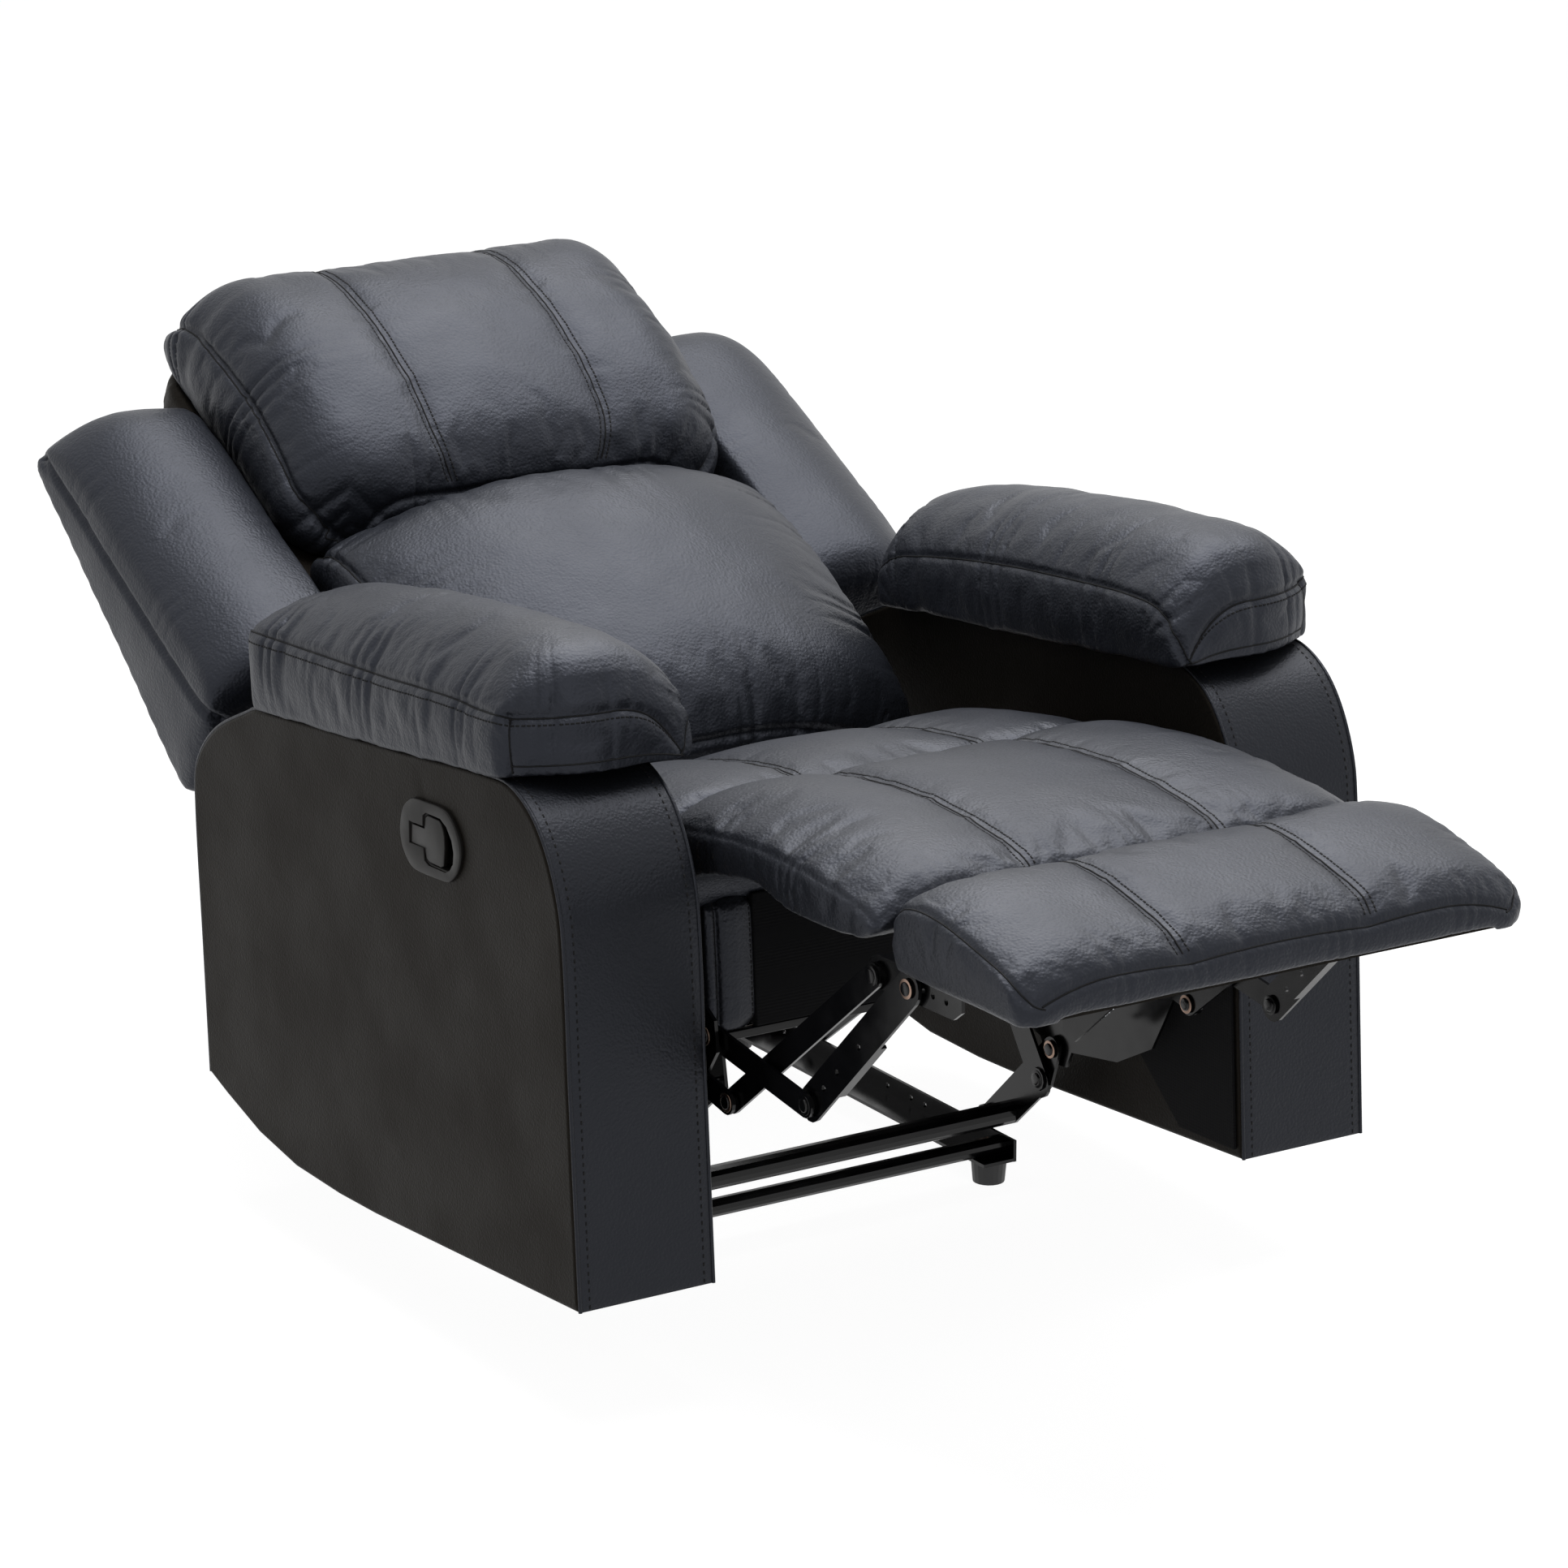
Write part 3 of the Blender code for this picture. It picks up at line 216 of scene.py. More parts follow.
def wovenCloth(name, values):
    # spun polypropylene lining: two crossed sets of threads, no gloss
    made, tree, shader, place = newMaterial(name, values, {"Roughness": 0.9, "Specular IOR Level": 0.2})
    threads = {"Vector": place, "Scale": 0.16 / values["thread"], "Distortion": 0.4}
    across, along = [addNode(tree, "ShaderNodeTexWave", threads, bands_direction=way) for way in ("Y", "Z")]
    weave = maths(tree, "MAXIMUM", across.outputs["Fac"], along.outputs["Fac"])
    surfaced(tree, shader, values, weave, 0.5, 0.0003, weave)
    return made


def sawnWood(name, values):
    # planed softwood: growth lines along X, open and dull
    made, tree, shader, place = newMaterial(name, values, {"Roughness": 0.65})
    longWays = addNode(tree, "ShaderNodeMapping", {"Vector": place, "Scale": (6, 160, 160)}).outputs["Vector"]
    lines = noiseOf(tree, longWays, 1, 5, Distortion=0.4)
    surfaced(tree, shader, values, lines, 0.3, 0.0003, lines)
    return made


# grain sizes in metres; the real grain is about 1 mm, drawn coarser so that it shows
cushionLeather = leather("black_coated_leather", {
    "dark": "#14161a", "light": "#1c1e23", "tint": "#e4eaff", "roughness": 0.46, "specular": 0.37, "coat": 0.03,
    "coatRoughness": 0.32, "grain": 0.0028, "crease": 0.011, "bump": 0.8})
panelLeather = leather("black_panel_leather", {
    "dark": "#100e0b", "light": "#161310", "tint": "#fff2e2", "roughness": 0.52, "specular": 0.1, "coat": 0,
    "coatRoughness": 0.4, "grain": 0.0024, "crease": 0.03, "bump": 0.45})
stripLeather = leather("black_strip_leather", {
    "dark": "#0f1013", "light": "#15171b", "tint": "#e8edff", "roughness": 0.42, "specular": 0.3, "coat": 0.04,
    "coatRoughness": 0.35, "grain": 0.0026, "crease": 0.02, "bump": 0.65})
# this near-black also colours the dark cords laid along the seams, which are painted shade standing in for the
# shadow in their grooves
threadAndSeamShade = painted("black_polyester_thread", {
    "dark": "#050506", "light": "#0c0c0e", "roughness": 0.7, "specular": 0.2, "grain": 0.0006, "bump": 0.4})
glossPaint = painted("black_gloss_painted_steel", {
    "dark": "#060607", "light": "#0b0b0d", "roughness": 0.2, "specular": 0.28, "grain": 0.0035, "bump": 0.12})
zincWire = painted("zinc_plated_spring_wire", {
    "dark": "#b4b6ba", "light": "#d2d4d6", "roughness": 0.26, "grain": 0.001, "bump": 0.1, "metallic": 1})
brassWasher = painted("copper_tinted_washer", {
    "dark": "#8d7364", "light": "#b39a8b", "roughness": 0.34, "grain": 0.001, "bump": 0.1, "metallic": 1})
mouldedPlastic = painted("moulded_black_abs", {
    "dark": "#100e0c", "light": "#151311", "roughness": 0.42, "specular": 0.2, "grain": 0.0012, "bump": 0.2})
footPlastic = painted("moulded_foot_plastic", {
    "dark": "#0e0e0f", "light": "#161617", "roughness": 0.5, "grain": 0.0012, "bump": 0.25})
liningCloth = wovenCloth("black_spun_lining", {"dark": "#060607", "light": "#111113", "thread": 0.0016})
frameWood = sawnWood("frame_softwood", {"dark": "#8f6d42", "light": "#b08c5c"})
print("materials made")


def wear(name, look):
    looks = nodes[name].data.materials
    if not looks:
        looks.append(look)
    for index in range(len(looks)):
        looks[index] = look


finishes = (
    (("coil_spring", "sinuous_spring"), zincWire), (("foot_front", "foot_rear"), footPlastic),
    (("dust_panel", "back_board"), liningCloth), (("seat_side_rail", "seat_rear_rail"), frameWood),
    (("footrest_board",), panelLeather),
    (("base_", "crank", "rear_swing", "seat_side_plate", "seat_front_rail", "spring_anchor", "lower_",
      "upper_", "footrest_bracket", "back_bracket", "recline_link"), glossPaint),
)
for nodeName in nodes:
    for starts, look in finishes:
        if nodeName.startswith(starts):
            wear(nodeName, look)

# soft pieces


def between(a, b, slopeA, slopeB, t):  # a smooth step from a to b with the slopes at its ends
    return ((2 * t ** 3 - 3 * t ** 2 + 1) * a + (t ** 3 - 2 * t ** 2 + t) * slopeA
            + (3 * t ** 2 - 2 * t ** 3) * b + (t ** 3 - t ** 2) * slopeB)


def readLine(table, at):  # smooth height along a table of (place, height)
    places, heights = zip(*table)
    if at <= places[0]:
        return heights[0]
    if at >= places[-1]:
        return heights[-1]
    i = max(k for k in range(len(places) - 1) if places[k] <= at)
    before, after = max(i - 1, 0), min(i + 2, len(places) - 1)
    span = places[i + 1] - places[i]
    t = (at - places[i]) / span
    slopeA = (heights[i + 1] - heights[before]) / (places[i + 1] - places[before]) * span
    slopeB = (heights[after] - heights[i]) / (places[after] - places[i]) * span
    return between(heights[i], heights[i + 1], slopeA, slopeB, t)


def padPoint(pad, x, y, w):  # x across from the middle, y along, w 0 underneath to 1 on top
    half, ends = pad["half"], (pad["top"][0][0], pad["top"][-1][0])
    middle, reach = sum(ends) / 2, (ends[1] - ends[0]) / 2
    edges = [-half, *pad["seams"], half]
    rise = 0
    for a, b in zip(edges, edges[1:]):
        if a - 1e-6 <= x <= b + 1e-6:
            t = (2 * x - a - b) / (b - a)
            rise = pad["crown"] * (1 - t * t)
            outer = max(t, 0) if b == half else 0
            outer = max(outer, -t) if a == -half else outer
            drop = pad["sideDrop"]
            if t > 0 and "blunt" in pad:  # the outer edge stays level right to the front
                drop = min(drop, max(0, readLine(pad["top"], y) - pad["blunt"]))
            rise -= drop * outer ** pad.get("dropPower", 2.0)
            if b == half and x > 0:
                rise -= pad.get("dropRight", 0) * outer ** 2
    high = readLine(pad["top"], y) + rise
    base = readLine(pad["low"], y)
    if "skirt" in pad:  # the cover laps down over the edge of the board
        inside = min(half - pad["skirtIn"] - abs(x), y - ends[0] - pad["skirtFront"],
                     ends[1] - pad["skirtRear"] - y)
        base -= pad["skirt"] * min(1, max(0, -inside / 0.004))
    radius = pad["corner"]
    over = max(0.0, abs(y - middle) - (reach - radius))
    limit = half - radius + math.sqrt(max(radius ** 2 - over ** 2, 0))
    pinch = (2 * w - 1) ** 2
    if "sweep" in pad:  # the outer front corner stands further back than the middle of the front
        y += pad["sweep"] * max(x / half, 0) ** 2 * max(0, 1 - (y - ends[0]) / 0.2)
    x = x * (limit / half) * (1 - pad["draw"] * pinch)
    y = middle + (y - middle) * (1 - pad.get("drawEnds", pad["draw"]) * pinch)
    return Vector((pad.get("centre", 0) + x, y, base + (high - base) * w))


def padForm(pad):
    bm = bmesh.new()
    bmesh.ops.create_cube(bm, size=1)
    half, low, high = pad["half"], pad["top"][0][0], pad["top"][-1][0]
    spread = Matrix.Translation((0, (low + high) / 2, 0.5)) @ Matrix.Diagonal((2 * half, high - low, 1, 1))
    transformed(bm, spread)
    for axis, start, end, step in ((0, -half, half, 0.0105), (1, low, high, 0.011), (2, 0, 1, 0.125)):
        count = round((end - start) / step)
        for i in range(1, count):
            at, way = [0, 0, 0], [0, 0, 0]
            at[axis], way[axis] = start + (end - start) * i / count, 1
            bmesh.ops.bisect_plane(bm, geom=bm.verts[:] + bm.edges[:] + bm.faces[:], dist=1e-6,
                                   plane_co=at, plane_no=way)
    for vert in bm.verts:
        vert.co = padPoint(pad, *vert.co)
    facedOut(bm)
    made = objectOf(pad["name"], meshOf(pad["name"], bm))
    grid = made.modifiers.new("grid", "REMESH")
    grid.mode = "VOXEL"
    grid.voxel_size = pad["grid"]
    bakeModifiers(made)
    return made


def bakeModifiers(obj):
    mesh = bpy.data.meshes.new_from_object(shapeOf(obj))
    obj.modifiers.clear()
    old, obj.data = obj.data, mesh
    bpy.data.meshes.remove(old)
    mesh.name = obj.name


def numbers(mesh, kind="co"):
    table = np.zeros(len(mesh.vertices) * 3, np.float32)
    mesh.vertices.foreach_get(kind, table)
    return table.reshape(-1, 3).astype(float)


def putBack(mesh, table):
    mesh.vertices.foreach_set("co", table.astype(np.float32).ravel())
    mesh.update()


def ropeOf(points, step=0.003):  # even points along a line, with how far along each is
    points = np.array([tuple(p) for p in points], float)
    lengths = np.concatenate([[0], np.cumsum(np.linalg.norm(np.diff(points, axis=0), axis=1))])
    at = np.linspace(0, lengths[-1], max(2, int(lengths[-1] / step)))
    return np.stack([np.interp(at, lengths, points[:, k]) for k in range(3)], 1), at


def nearest(table, rope):
    best = np.full(len(table), 1e9)
    which = np.zeros(len(table), int)
    for start in range(0, len(rope), 40):
        block = rope[start:start + 40]
        gaps = ((table[:, None, :] - block[None]) ** 2).sum(2)
        found = gaps.argmin(1)
        least = gaps[np.arange(len(table)), found]
        closer = least < best
        best[closer] = least[closer]
        which[closer] = found[closer] + start
    return np.sqrt(best), which


def pleats(along, pitch, seed):  # narrow valleys between rounded ridges, uneven in step and in depth
    phase = along / pitch + 0.45 * np.sin(2 * np.pi * along / (3.3 * pitch) + seed)
    valley = (1 - np.abs(np.sin(np.pi * phase))) ** 2
    strength = 0.55 + 0.45 * np.sin(2 * np.pi * along / (5.7 * pitch) + 2.1 * seed)
    return 0.35 - valley * 1.3 * strength


def sew(obj, points, depth, width, gather=0, reach=0.03, pitch=0.018, seed=1):
    mesh = obj.data
    table, out = numbers(mesh), numbers(mesh, "normal")
    rope, at = ropeOf(points)
    gap, which = nearest(table, rope)
    push = -depth * np.exp(-(gap / width) ** 2)
    if gather:
        push += gather * pleats(at[which], pitch, seed) * np.exp(-(gap / reach) ** 1.5) * (
            1 - 0.6 * np.exp(-(gap / width) ** 2))
    putBack(mesh, table + out * push[:, None])


def rumple(obj, amount, stretch, seed):  # the loose rise and fall of leather over foam
    mesh = obj.data
    table, out = numbers(mesh), numbers(mesh, "normal")
    push = np.zeros(len(table))
    for i, p in enumerate(table):
        at = Vector((p[0] / stretch + seed, p[1] / stretch, p[2] / stretch - seed))
        push[i] = noise.noise(at) + 0.45 * noise.noise(at * 2.3)
    putBack(mesh, table + out * (amount * push)[:, None])


def rimOf(pad, steps=26):  # the sewn line round the top panel
    half, low, high = pad["half"], pad["top"][0][0], pad["top"][-1][0]
    corners = ((-half, low), (half, low), (half, high), (-half, high), (-half, low))
    line = []
    for a, b in zip(corners, corners[1:]):
        line += [(a[0] + (b[0] - a[0]) * i / steps, a[1] + (b[1] - a[1]) * i / steps) for i in range(steps)]
    return [padPoint(pad, x, y, 1) for x, y in line + [corners[0]]]


def seamOf(pad, x, inset=0, steps=40):
    low, high = pad["top"][0][0] + inset, pad["top"][-1][0] - inset
    return [padPoint(pad, x, low + (high - low) * i / steps, 1) for i in range(steps + 1)]


# frames of the simulation, its stiffness and slack, and how firmly seams and glued undersides are held
stuffing = {
    "frames": 20, "quality": 5, "pressure": 4.0, "slack": -0.012, "stiffness": 0.4, "seamHold": 0.3,
    "ropeStep": 0.006, "gluedRise": 0.012, "gluedEdge": 1.4, "least": 0.02,
}


def stuff(forms):  # the pads are blown up together, each held where it is sewn or glued
    rests = []
    for pad, obj in forms:
        table = numbers(obj.data)
        held = np.zeros(len(table))
        lines = [(rimOf(pad), pad["rimHold"])] + [(seamOf(pad, x), stuffing["seamHold"]) for x in pad["seams"]]
        for line, weight in lines:
            rope, at = ropeOf(line, stuffing["ropeStep"])
            gap, which = nearest(table, rope)
            held = np.maximum(held, weight * np.exp(-(gap / pad["grid"]) ** 2))
        base = np.array([readLine(pad["low"], y) for y in table[:, 1]])
        glued = stuffing["gluedEdge"] - (table[:, 2] - base) / stuffing["gluedRise"]
        held = np.maximum(held, np.clip(glued, 0, 1))
        group = obj.vertex_groups.new(name="held")
        for i, weight in enumerate(held):
            if weight > stuffing["least"]:
                group.add([i], float(weight), "REPLACE")
        cloth = obj.modifiers.new("stuffing", "CLOTH")
        values = cloth.settings
        values.quality = stuffing["quality"]
        values.vertex_group_mass = "held"
        values.use_pressure = True
        values.uniform_pressure_force = pad.get("pressure", stuffing["pressure"])
        values.effector_weights.gravity = 0
        values.shrink_min = pad.get("slack", stuffing["slack"])
        values.bending_stiffness = stuffing["stiffness"]
        cloth.point_cache.frame_start, cloth.point_cache.frame_end = 1, stuffing["frames"]
        rests.append(table)
    for step in range(1, stuffing["frames"] + 1):
        scene.frame_set(step)
    graph = bpy.context.evaluated_depsgraph_get()
    for (pad, obj), table in zip(forms, rests):
        shift = numbers(obj.evaluated_get(graph).data) - table
        length = np.linalg.norm(shift, axis=1)
        cap = pad["cap"]
        shift *= (cap * np.tanh(length / cap) / np.maximum(length, 1e-9))[:, None]
        obj.modifiers.clear()
        putBack(obj.data, table + shift)
        print("stuffed", pad["name"], "moved up to", round(1000 * float(length.max()), 1), "mm")
    scene.frame_set(1)


def rounded(obj):
    rounder = obj.modifiers.new("rounder", "SUBSURF")
    rounder.levels = rounder.render_levels = 1
    bakeModifiers(obj)


def clad(obj, look, place):  # smooth, in its leather, and set down in the chair
    for face in obj.data.polygons:
        face.use_smooth = True
    obj.data.materials.clear()
    obj.data.materials.append(look)
    obj.data.transform(place)
    obj.data.update()


# stitches are drawn thicker than real, so that they show; aside is each row's distance from its seam
# seam, seamStep and seamJump are the radius, the step and the gap that breaks the dark cord laid along each
# seam: painted shade standing in for the seam groove's shadow
thread = {
    "long": 0.0038, "wide": 0.0017, "high": 0.0009, "round": 0.0003, "pitch": 0.0048, "aside": 0.0065,
    "seam": 0.0009, "seamStep": 0.004, "seamJump": 0.014,
}


def stitchForm():  # one stitch along X, lying on the cloth
    bm = bmesh.new()
    bmesh.ops.create_cube(bm, size=1)
    transformed(bm, Matrix.Diagonal((thread["long"], thread["wide"], thread["high"], 1)))
    bevelled(bm, bm.edges[:], thread["round"], segments=1)
    return meshOf("stitch", bm)


oneStitch = stitchForm()


def dropped(line, way, trees, step, reach):  # where a line falls on the pieces under it, and which way is out
    rope, at = ropeOf(line, step)
    for i in range(len(rope) - 1):
        spot, along = (Vector(rope[i]) + Vector(rope[i + 1])) / 2, Vector(rope[i + 1]) - Vector(rope[i])
        hits = [tree.ray_cast(spot + way * reach, -way, 2 * reach) for tree in trees]
        hits = [h for h in hits if h[0] is not None]
        if hits:
            place, out = min(hits, key=lambda h: h[3])[:2]
            yield place, out, (along - out * along.dot(out)).normalized()


def treesOf(targets):
    graph = bpy.context.evaluated_depsgraph_get()
    return [BVHTree.FromObject(target, graph) for target in targets]


def stitchRows(name, lines, targets, body, pitch=None, reach=0.05):
    # lines are in world places, each with its way out of the cloth
    trees, pitch = treesOf(targets), pitch or thread["pitch"]
    bm = bmesh.new()
    for line, way in lines:
        for place, out, along in dropped(line, Vector(way).normalized(), trees, pitch, reach):
            turn = Matrix((along, out.cross(along), out)).transposed().to_4x4()
            addCopy(bm, oneStitch, Matrix.Translation(place) @ turn)
    return keepMesh(name, bm, threadAndSeamShade, body, smooth=True)


def tubeMesh(name, lines, radius, look, body, slot=None, sides=2):  # round cord along each line
    curve = bpy.data.curves.new(name, "CURVE")
    curve.dimensions, curve.bevel_depth, curve.bevel_resolution = "3D", radius, sides
    curve.use_fill_caps = True
    for line in lines:
        spline = curve.splines.new("POLY")
        spline.points.add(len(line) - 1)
        for point, at in zip(spline.points, line):
            point.co = (*at, 1)
    shape = objectOf(name + "Shape", curve)
    mesh = bpy.data.meshes.new_from_object(shapeOf(shape))
    bpy.data.objects.remove(shape)
    bm = bmesh.new()
    bm.from_mesh(mesh)
    bpy.data.meshes.remove(mesh)
    return keepMesh(name, bm, look, body, smooth=True, slot=slot)


def seamShadeCords(name, lines, targets, body, reach=0.05, radius=None):  # a dark cord laid where two panels meet, painted shade standing in for the shadow in the seam's narrow groove
    trees = treesOf(targets)
    laid = []
    for line, way in lines:
        fall = dropped(line, Vector(way).normalized(), trees, thread["seamStep"], reach)
        spots = [place for place, out, along in fall]
        parts = [[spots[0]]] if spots else []
        for a, b in zip(spots, spots[1:]):  # broken where it would jump over a gap
            if (b - a).length > thread["seamJump"]:
                parts.append([])
            parts[-1].append(b)
        laid += [part for part in parts if len(part) > 2]
    return tubeMesh(name, laid, radius or thread["seam"], threadAndSeamShade, body)


def keepMesh(name, bm, look, body, smooth=False, slot=None):
    mesh = meshOf(name, bm)
    made = objectOf(name, mesh)
    mesh.materials.append(look)
    for face in mesh.polygons:
        face.use_smooth = bool(smooth)
    if smooth == "angle":
        mesh.set_sharp_from_angle(angle=math.radians(35))
    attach(made, body)
    return made


def mirrored(obj, name):
    mesh = obj.data.copy()
    mesh.name = name
    mesh.transform(Matrix.Diagonal((-1, 1, 1, 1)))
    mesh.flip_normals()
    return objectOf(name, mesh)


# top and low are (length, height) down the middle; rim is the sewing's depth, gather, reach and pitch
seamLines = (-0.105, 0.105)
seatPad = {  # behind the tuck across the seat
    "name": "seatCushionCover", "node": "seat_cushion", "place": bodyPlace, "body": "seat_body",
    "half": 0.277, "corner": 0.012,
    "seams": seamLines, "crown": 0.004, "sideDrop": 0.02, "draw": 0.02, "drawEnds": 0, "pressure": 1.8,
    "top": ((0.1245, 0.414), (0.132, 0.421), (0.145, 0.424), (0.224, 0.4205), (0.32, 0.406), (0.403, 0.38)),
    "low": ((0.1245, 0.29), (0.403, 0.29)),
    "grid": 0.0055, "cap": 0.006, "rimHold": 0.7,
    "rim": (0.003, 0.0012, 0.035, 0.02), "rumple": (0.001, 0.1, 15.0),
}
frontPad = {  # one panel from the tuck to the crease before the footrest
    "name": "seatFrontCover", "node": "bridge_pad", "place": bodyPlace, "body": "seat_body",
    "half": 0.277, "corner": 0.006,
    "seams": seamLines, "crown": 0.004, "sideDrop": 0.024, "draw": 0.01, "drawEnds": 0, "dropPower": 2.4,
    "top": ((-0.256, 0.403), (-0.247, 0.415), (-0.225, 0.424), (-0.18, 0.4335), (-0.108, 0.4425),
            (-0.026, 0.4455), (0.06, 0.44), (0.1, 0.4315), (0.114, 0.424), (0.123, 0.412)),
    "low": ((-0.256, 0.386), (-0.225, 0.371), (-0.108, 0.372), (-0.0576, 0.386), (-0.02, 0.385),
            (0.065, 0.366), (0.1, 0.325), (0.123, 0.29)),
    "grid": 0.0055, "cap": 0.006, "rimHold": 0.8, "pressure": 1.8,
    "rim": (0.002, 0.0017, 0.045, 0.021), "rumple": (0.0012, 0.1, 21.0),
}
footPad = {
    "name": "footrestCover", "node": "footrest_pad", "place": footPlace, "body": "footrest",
    "half": 0.277, "corner": 0.02,
    "seams": seamLines, "crown": 0.004, "sideDrop": 0.012, "draw": 0.015,
    "skirt": 0.0125, "skirtIn": 0.0265, "skirtFront": 0.01, "skirtRear": 0.006,
    "top": ((-0.1975, 0.047), (-0.178, 0.066), (-0.1268, 0.0815), (-0.06, 0.095),
            (-0.01, 0.093), (0.019, 0.074)),
    "low": ((-0.1975, 0.028), (0.019, 0.029)),
    "grid": 0.0055, "cap": 0.005, "rimHold": 1.0, "pressure": 2.2,
    "rim": (0.003, 0.0011, 0.03, 0.023), "rumple": (0.0011, 0.09, 18.0),
}
headPad = {
    "name": "headCushionCover", "node": "head_cushion", "place": backPlace, "body": "back",
    "half": 0.262, "corner": 0.06,
    "seams": seamLines, "crown": 0.003, "sideDrop": 0.05, "draw": 0.03, "dropPower": 2.6,
    "top": ((0.322, 0.07), (0.345, 0.106), (0.43, 0.134), (0.54, 0.138), (0.64, 0.118), (0.7, 0.062)),
    "low": ((0.322, 0.001), (0.7, 0.001)),
    "grid": 0.006, "cap": 0.017, "rimHold": 0.8,
    "rim": (0.0045, 0.004, 0.06, 0.027), "rumple": (0.0022, 0.095, 2.0),
}
lumbarPad = {
    "name": "lumbarCushionCover", "node": "lumbar_cushion", "place": backPlace, "body": "back",
    "half": 0.258, "corner": 0.03,
    "seams": (), "crown": 0.01, "sideDrop": 0.058, "draw": 0.02, "dropPower": 2.6,
    "top": ((-0.1, 0.08), (-0.06, 0.122), (0.06, 0.138), (0.18, 0.138), (0.28, 0.116), (0.318, 0.076)),
    "low": ((-0.1, 0.006), (-0.06, 0.001), (0.318, 0.001)),
    "grid": 0.006, "cap": 0.016, "rimHold": 0.7,
    "rim": (0.0045, 0.004, 0.06, 0.029), "rumple": (0.002, 0.1, 5.0),
}
wingPad = {  # a bolster over a flat side panel, parted by a groove down the outer side
    "name": "wingCoverLeft", "node": "back_wing_left", "place": backPlace, "body": "back",
    "half": 0.079, "corner": 0.016, "centre": 0.3485,
    "seams": (), "crown": 0.01, "sideDrop": 0, "dropRight": 0.034, "draw": 0.01, "drawEnds": 0.02,
    "top": ((0.158, 0.01), (0.176, 0.03), (0.22, 0.037), (0.36, 0.036), (0.53, 0.03), (0.58, 0.01),
            (0.598, -0.022)),
    "low": ((0.158, -0.137), (0.19, -0.138), (0.36, -0.103), (0.53, -0.07), (0.598, -0.054)),
    "grid": 0.0055, "cap": 0.006, "rimHold": 0.7, "slack": 0, "pressure": 2.0,
    "rim": (0.0005, 0.001, 0.03, 0.032), "rumple": (0.001, 0.1, 12.0),
}
armPad = {
    "name": "armPadCoverLeft", "node": "arm_pad_left", "place": bodyPlace, "body": "seat_body",
    "half": 0.0945, "corner": 0.012, "centre": 0.3645,
    "seams": (), "crown": 0, "sideDrop": 0.056, "draw": 0.01, "drawEnds": 0, "dropPower": 2.8,
    "blunt": 0.549, "sweep": 0.036,
    "top": ((0.044, 0.545), (0.052, 0.575), (0.075, 0.598), (0.12, 0.606), (0.2, 0.607), (0.355, 0.602),
            (0.5, 0.588), (0.56, 0.574), (0.584, 0.548)),
    "low": ((0.044, 0.49), (0.1, 0.4852), (0.584, 0.467)),
    "grid": 0.005, "cap": 0.012, "rimHold": 0.95, "slack": -0.008,
    "rim": (0.0032, 0.0036, 0.045, 0.029), "rumple": (0.002, 0.065, 9.0),
}


def fellSewing(pad):  # a flat seam in a shallow valley
    lines = [seamOf(pad, x) for x in pad["seams"]]
    return [(line, {"depth": 0.001, "width": 0.01}) for line in lines] + [
        (line, {"depth": 0.0007, "width": 0.0024, "gather": 0.0004, "reach": 0.02, "pitch": 0.016})
        for line in lines]


def rimSewing(pad):
    values = dict(zip(("depth", "gather", "reach", "pitch"), pad["rim"]))
    return [(rimOf(pad), {"width": 0.0045, **values})]


def grooveOf(pad, level=-0.03, highest=0.9):  # down the outer side of a wing, behind its bolster
    line = []
    for i in range(41):
        y = pad["top"][0][0] + (pad["top"][-1][0] - pad["top"][0][0]) * i / 40
        under, over = padPoint(pad, pad["half"], y, 0).z, padPoint(pad, pad["half"], y, 1).z
        line.append(padPoint(pad, pad["half"], y, min(highest, (level - under) / (over - under))))
    return line


def cornerOf(pad):  # up the outer front corner
    return [padPoint(pad, pad["half"], pad["top"][0][0], i / 12) for i in range(13)]


def sewingOf(pad):
    first = [(grooveOf(pad), {"depth": 0.008, "width": 0.0045})] if pad is wingPad else fellSewing(pad)
    last = [(cornerOf(pad), {"depth": 0.003, "width": 0.0035})] if pad is armPad else []
    return first + rimSewing(pad) + last


forms = [(pad, padForm(pad)) for pad in (seatPad, frontPad, footPad, headPad, lumbarPad, wingPad, armPad)]
print("pads formed")
stuff(forms)
covers = {}
for pad, obj in forms:
    rounded(obj)  # seams, gathers and creases go in after the stuffing
    for k, (line, values) in enumerate(sewingOf(pad)):
        sew(obj, line, seed=k + 1.3, **values)
    rumple(obj, *pad["rumple"])
    clad(obj, cushionLeather, pad["place"])
    pairs = [(obj, pad["node"])]
    if pad["node"].endswith("_left"):
        other = mirrored(obj, pad["name"].replace("Left", "Right"))
        pairs.append((other, pad["node"].replace("_left", "_right")))
    for cover, node in pairs:
        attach(cover, pad["body"])
        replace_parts(cover, node)
        covers[cover.name] = cover
    print("finished", pad["name"], len(obj.data.polygons), "faces")


def upOf(place, way=(0, 0, 1)):
    return (place.to_3x3() @ Vector(way)).normalized()


def alongSeam(pad, x, inset=0.006):  # a line over the pad as it stands in the chair, with its way out
    return [pad["place"] @ p for p in seamOf(pad, x, inset, 60)], upOf(pad["place"])


def sewnRows(name, pad, inset=0.006):
    rows, middle = [[alongSeam(pad, x + side * thread["aside"], inset) for x in pad["seams"] for side in sides]
                    for sides in ((-1, 1), (0,))]
    cover = covers[pad["name"]]
    # besides the two rows of stitches, the middle of each seam gets a dark cord: painted shade for the shadow
    # in its groove
    return [stitchRows(name + "Stitching", rows, [cover], pad["body"]),
            seamShadeCords(name + "Seams", middle, [cover], pad["body"])]


